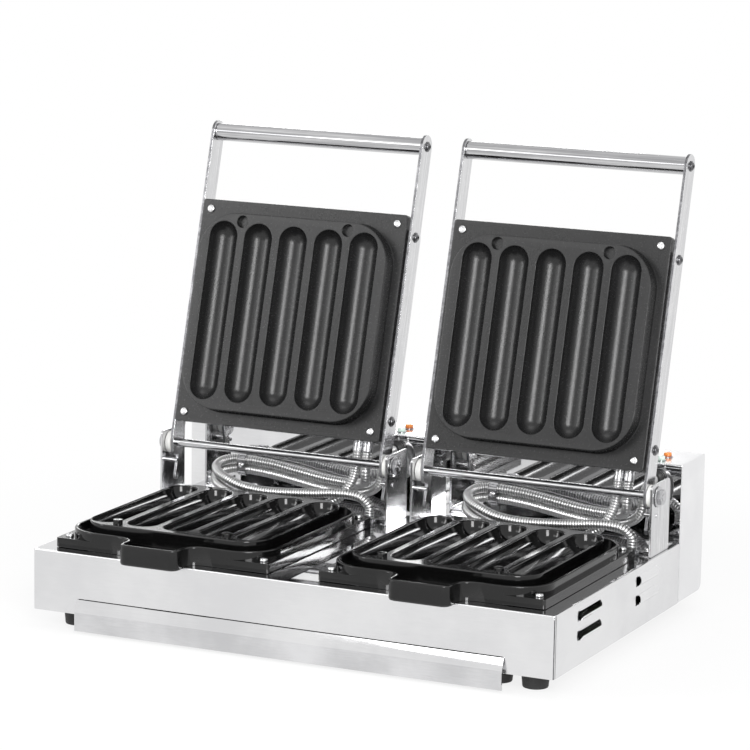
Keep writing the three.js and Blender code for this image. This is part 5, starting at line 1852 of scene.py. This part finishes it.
@dataclass
class Head(Fitting):
    """A lid as it is worked shut: heater cover, arms and handle."""

    cover: tuple[float, float, float, float] = (-254.0, -25.0, -6.9, 24.0)
    cover_half: float = 123.4
    cover_sheet: float = 1.2
    cover_round: float = 8.0
    gland: tuple[float, float, float, float] = (87.0, 98.4, 12.0, 3.2)
    arm_inner: float = 124.0
    arm_thick: float = 3.2
    arm_width: float = 25.0
    arm_length: float = 345.0
    heel: float = 14.0
    tail: tuple[float, float, float] = (40.0, 9.0, 2.0)
    stop: tuple[float, float, float] = (2.5, 19.5, 2.55)
    hole: float = 4.8
    handle: tuple[float, float] = (9.5, 8.0)
    bolts: tuple[float, float] = (47.5, 246.4)
    cover_screws: tuple[float, float] = (105.0, 18.0)

    def build(self) -> None:
        """Builds the pieces of the lid and hands them over."""
        self._cover()
        for end in End:
            self._arm(end)
        self._handle()

    def _section(self, inset: float, low: float) -> list[Flat]:
        """Draws the cover from its side, drawn in by an inset."""
        front, back, _, high = self.cover
        r = self.cover_round - inset
        section = Outline().to(front + inset, low).to(back - inset, low)
        section.arc(back - self.cover_round, high - self.cover_round, r, 0, 90, 8)
        return section.arc(front + self.cover_round, high - self.cover_round, r, 90, 180, 8).points

    def _cover(self) -> None:
        """Builds the folded cover over the heater, with its holes and screws."""
        front, back, low, high = self.cover
        half, sheet = self.cover_half, self.cover_sheet
        ends = [(1.3, 0.0), (0.4, 0.35), (0.0, 1.3)]
        layers = [(d, -half + x) for d, x in ends] + [(d, half - x) for d, x in reversed(ends)]
        cover = Solid.stack([(self._section(d, low), x) for d, x in layers]).placed(ALONG_X)
        cover.cut(Solid.prism(self._section(sheet, low - 5), -half + sheet, half - sheet).placed(ALONG_X))
        near, far, rise, bore = self.gland
        for x in (near, far):
            cover.cut(Solid.prism(circle(bore, rise, x, 24), back - 6, back + 5).placed(ALONG_Y))
        cover.eased(0.2, 1, 50.0)
        name, place, body = self.name, self.shop.head(self.side), f"head_{self.name}"
        cover.piece(
            f"heater_cover_sheet_{name}", place, self.shop.finishes.cover, body, "case_steel", f"heater_cover_{name}",
            sharp=30.0)
        across, inset = self.cover_screws
        points = [(a * across, b, high) for a in (-1, 1) for b in (front + inset, back - inset)]
        self.shop.fasten(f"cover_screws_{name}", PanScrew(3.8, 2.2), points, Facing.UP, place, body)

    def _arm(self, end: End) -> None:
        """Builds one side arm with its round end, heel and tail."""
        half, length, heel = self.arm_width / 2, self.arm_length, self.heel
        reach, wide, hole = self.tail
        lead, drop, clear = self.stop
        lean = math.radians(self.shop.open_angle - 90.0)
        front = -(lead * math.cos(lean) - drop * math.sin(lean) - clear)
        tip = reach - wide / 2
        arm = Outline().to(-length, -half).to(-heel / 2, -half)
        arm.arc(0, 0, heel, -30, math.degrees(math.asin(front / heel)), 14)
        arm.arc(tip, front + wide / 2, wide / 2, -90, 90, 12)
        arm.curve((heel, front + wide), (0, front + wide), (-heel, half), 8)
        arm.to(-length, half).arc(-length, 0, half, 90, 270, 24)
        solid = Solid.prism(arm.points, self.arm_inner, self.arm_inner + self.arm_thick)
        for radius, x, y in ((self.hole, 0, 0), (hole, tip, front + wide / 2)):
            solid.cut(Solid.prism(circle(radius, x, y), self.arm_inner - 5, self.arm_inner + 9))
        solid.eased(0.45, 3, 40.0).placed(ALONG_X).placed(Matrix.Diagonal((end.sign, 1, 1, 1)))
        name = f"{self.name}_{end.value}"
        place, body = self.shop.head(self.side), f"head_{self.name}"
        arm = solid.piece(
            f"side_arm_{name}", place, self.shop.finishes.arm, body, "bright_steel", f"arm_{name}", sharp=35.0)
        # Painted shade and reflection: the arm's narrow edge faces take the dark blackened finish, standing in for the
        # dark outline that shade and reflection give polished steel.
        polish(arm, self.shop.finishes.bolt, lambda normal, spot: abs(normal.x) < 0.5)
        outer = end.sign * (self.arm_inner + self.arm_thick)
        facing = Facing.RIGHT if end is End.B else Facing.LEFT
        bolts = [(outer, -way, 0.0) for way in (*self.bolts, length)]
        self.shop.fasten(f"arm_bolts_{name}", SocketBolt(), bolts, facing, place, body, self.shop.finishes.bolt)

    def _handle(self) -> None:
        """Builds the tube between the arms with a plug at each end."""
        outer, inner = self.handle
        half = self.arm_inner - GAP
        end = [(outer, half - 0.3), (outer - 0.3, half), (inner, half)]
        tube = Solid.turned([*((radius, -x) for radius, x in reversed(end)), *end], 64)
        plug = [(0, half - 6), (inner - 0.1, half - 6), (inner - 0.1, half - 0.4), (0, half - 0.4)]
        for flip in (Matrix.Identity(4), Matrix.Diagonal((1, 1, -1, 1))):
            tube.beside(Solid.turned(plug, 48).placed(flip))
        tube.placed(ALONG_X).moved(0, -self.arm_length, 0)
        name, place, body = self.name, self.shop.head(self.side), f"head_{self.name}"
        tube.piece(
            f"handle_tube_{name}", place, self.shop.finishes.handle, body, "bright_steel", f"handle_{name}", sharp=35.0)


# Studio


@dataclass
class Softbox:
    """A soft lamp that looks at one place."""

    name: str
    place: tuple[float, float, float]
    target: tuple[float, float, float]
    size: tuple[float, float]
    power: float

    def build(self) -> None:
        """Hangs the lamp."""
        light = bpy.data.lights.new(self.name, "AREA")
        light.shape = "RECTANGLE"
        light.size, light.size_y = self.size
        light.energy = self.power
        item = bpy.data.objects.new(self.name, light)
        item.location = self.place
        item.rotation_euler = (Vector(self.target) - Vector(self.place)).to_track_quat("-Z", "Y").to_euler()
        item.visible_camera = False
        bpy.context.scene.collection.objects.link(item)


@dataclass
class Studio:
    """The photograph's view, the pale floor, the soft lamps and the white background."""

    eye: tuple[float, float, float] = (1.5349, -3.3196, 0.9443)
    look: tuple[float, float, float] = (-0.4129, 0.8919, -0.1844)
    roll: float = 1.0
    lens: float = 171.9
    floor_half: float = 6.0
    level: float = 0.7
    shadow: float = 0.2
    shade_reach: tuple[float, float] = (0.45, 0.9)

    def build(self) -> None:
        """Sets the stage."""
        self._camera()
        self._floor()
        self._world()
        Softbox("right_box", (1.42, -2.29, 1.19), (0.0, 0.1, 0.3), (0.9, 1.3), 52.0).build()
        Softbox("left_box", (-2.2, -1.93, 1.09), (0.0, 0.1, 0.3), (0.7, 1.2), 19.0).build()
        Softbox("back_box", (-1.35, 2.5, 1.0), (0.0, 0.0, 0.1), (1.3, 0.26), 7.0).build()
        Softbox("front_box", (-1.24, -2.33, 1.49), (0.0, 0.0, 0.1), (1.1, 0.6), 5.0).build()
        Softbox("top_box", (0.3, -0.3, 2.6), (0.0, 0.0, 0.1), (1.2, 1.2), 6.0).build()
        bpy.context.scene.view_settings.view_transform = "Standard"

    def _camera(self) -> None:
        """Places the camera at the photograph's view."""
        ahead = Vector(self.look).normalized()
        right = Vector((ahead.y, -ahead.x, 0.0)).normalized()
        up = right.cross(ahead)
        turn = math.radians(self.roll)
        across = right * math.cos(turn) + up * math.sin(turn)
        above = up * math.cos(turn) - right * math.sin(turn)
        matrix = Matrix((across, above, -ahead)).transposed().to_4x4()
        camera = bpy.data.cameras.new("camera")
        camera.lens, camera.sensor_width, camera.clip_end = self.lens, 36.0, 50.0
        item = bpy.data.objects.new("camera", camera)
        item.matrix_world = Matrix.Translation(self.eye) @ matrix
        bpy.context.scene.collection.objects.link(item)
        bpy.context.scene.camera = item

    @staticmethod
    def _ray(graph: Graph, kind: str) -> Wire:
        """Says whether a ray is of a kind."""
        return graph.add("ShaderNodeLightPath", output=kind)

    def _floor(self) -> None:
        """Lays the floor, which the camera sees nearly white but for the machine's shadow."""
        half = self.floor_half
        mesh = bpy.data.meshes.new("floor")
        mesh.from_pydata([(-half, -half, 0), (half, -half, 0), (half, half, 0), (-half, half, 0)], [], [(0, 1, 2, 3)])
        graph = Graph("pale_floor")
        seen = graph.maths("MAXIMUM", self._ray(graph, "Is Camera Ray"), self._ray(graph, "Is Glossy Ray"))
        seen = graph.maths("MAXIMUM", seen, self._ray(graph, "Is Transmission Ray"))
        place = graph.add("ShaderNodeTexCoord", output="Object")
        away = graph.add("ShaderNodeVectorMath", {"operation": "LENGTH"}, {0: place}, "Value").above(*self.shade_reach)
        bright = seen * ((away - 1.0) * self.shadow + 1.0)
        lit = graph.add("ShaderNodeBsdfDiffuse", None, {"Color": (0.9, 0.9, 0.9, 1.0)})
        white = graph.add("ShaderNodeEmission", None, {"Color": (1.0, 1.0, 1.0, 1.0), "Strength": 1.0})
        both = graph.add("ShaderNodeMixShader", None, {0: bright, 1: lit, 2: white})
        graph.add("ShaderNodeOutputMaterial", None, {"Surface": both})
        mesh.materials.append(graph.material)
        floor = bpy.data.objects.new("floor", mesh)
        bpy.context.scene.collection.objects.link(floor)

    def _world(self) -> None:
        """Makes the background white to the camera, to metal and to glass, and plain for the rest."""
        world = bpy.data.worlds.new("studio")
        bpy.context.scene.world = world
        world.use_nodes = True
        nodes, links = world.node_tree.nodes, world.node_tree.links
        nodes.clear()
        path = nodes.new("ShaderNodeLightPath")
        seen = nodes.new("ShaderNodeMath")
        seen.operation = "MAXIMUM"
        links.new(path.outputs["Is Camera Ray"], seen.inputs[0])
        links.new(path.outputs["Is Glossy Ray"], seen.inputs[1])
        clear = nodes.new("ShaderNodeMath")
        clear.operation = "MAXIMUM"
        links.new(seen.outputs[0], clear.inputs[0])
        links.new(path.outputs["Is Transmission Ray"], clear.inputs[1])
        strength = nodes.new("ShaderNodeMapRange")
        links.new(clear.outputs[0], strength.inputs["Value"])
        strength.inputs["To Min"].default_value = self.level
        strength.inputs["To Max"].default_value = 1.0
        sky = nodes.new("ShaderNodeBackground")
        sky.inputs["Color"].default_value = (1.0, 1.0, 1.0, 1.0)
        links.new(strength.outputs["Result"], sky.inputs["Strength"])
        end = nodes.new("ShaderNodeOutputWorld")
        links.new(sky.outputs[0], end.inputs["Surface"])


def place_hinges(frame: dict) -> tuple[dict[Side, Vector], float]:
    """Reads the heads' hinges.

    Args:
        frame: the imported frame.

    Returns:
        Each hinge's place in millimetres, and how far the heads stand open, in degrees.
    """
    joints = {joint["name"]: joint for joint in frame["joints"]}
    hinges = {side: Vector(joints[f"head_{side.value}_hinge"]["pos_m"]) / MM for side in Side}
    return hinges, joints["head_left_hinge"]["range_deg"][1]


def dress_hidden(frame: dict, finishes: Finishes) -> None:
    """Gives the pieces that stay as they came their finishes."""
    dressed = {"floor_panel": finishes.front}
    for side in Side:
        dressed[f"thermostat_{side.value}"] = finishes.ceramic
        dressed[f"lower_element_{side.value}"] = finishes.element
        dressed[f"upper_element_{side.value}"] = finishes.element
    for name, finish in dressed.items():
        for slot in frame["nodes"][name].material_slots:
            slot.material = finish
        log.info("%s: kept, in %s", name, finish.name)


def main() -> None:
    """Builds the whole machine and its studio."""
    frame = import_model()
    Studio().build()
    hinges, open_angle = place_hinges(frame)
    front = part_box("base_casing")[0].y / MM
    finishes = Finishes(math.radians(open_angle - 90.0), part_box("control_box")[1].z)
    shop = Workshop(Matrix.Translation((0.0, front, 0.0)), hinges, open_angle, finishes)
    for part in (Casing(shop), CrumbTray(shop), Feet(shop), ControlBox(shop)):
        part.build()
    for side in Side:
        kinds = (Controls, LowerPlate, Station, Conduits, UpperPlate, Head)
        for kind in kinds:
            kind(shop, side).build()
    dress_hidden(frame, finishes)


if __name__ == "__main__":
    logging.basicConfig(level=logging.INFO, format="%(message)s")
    main()
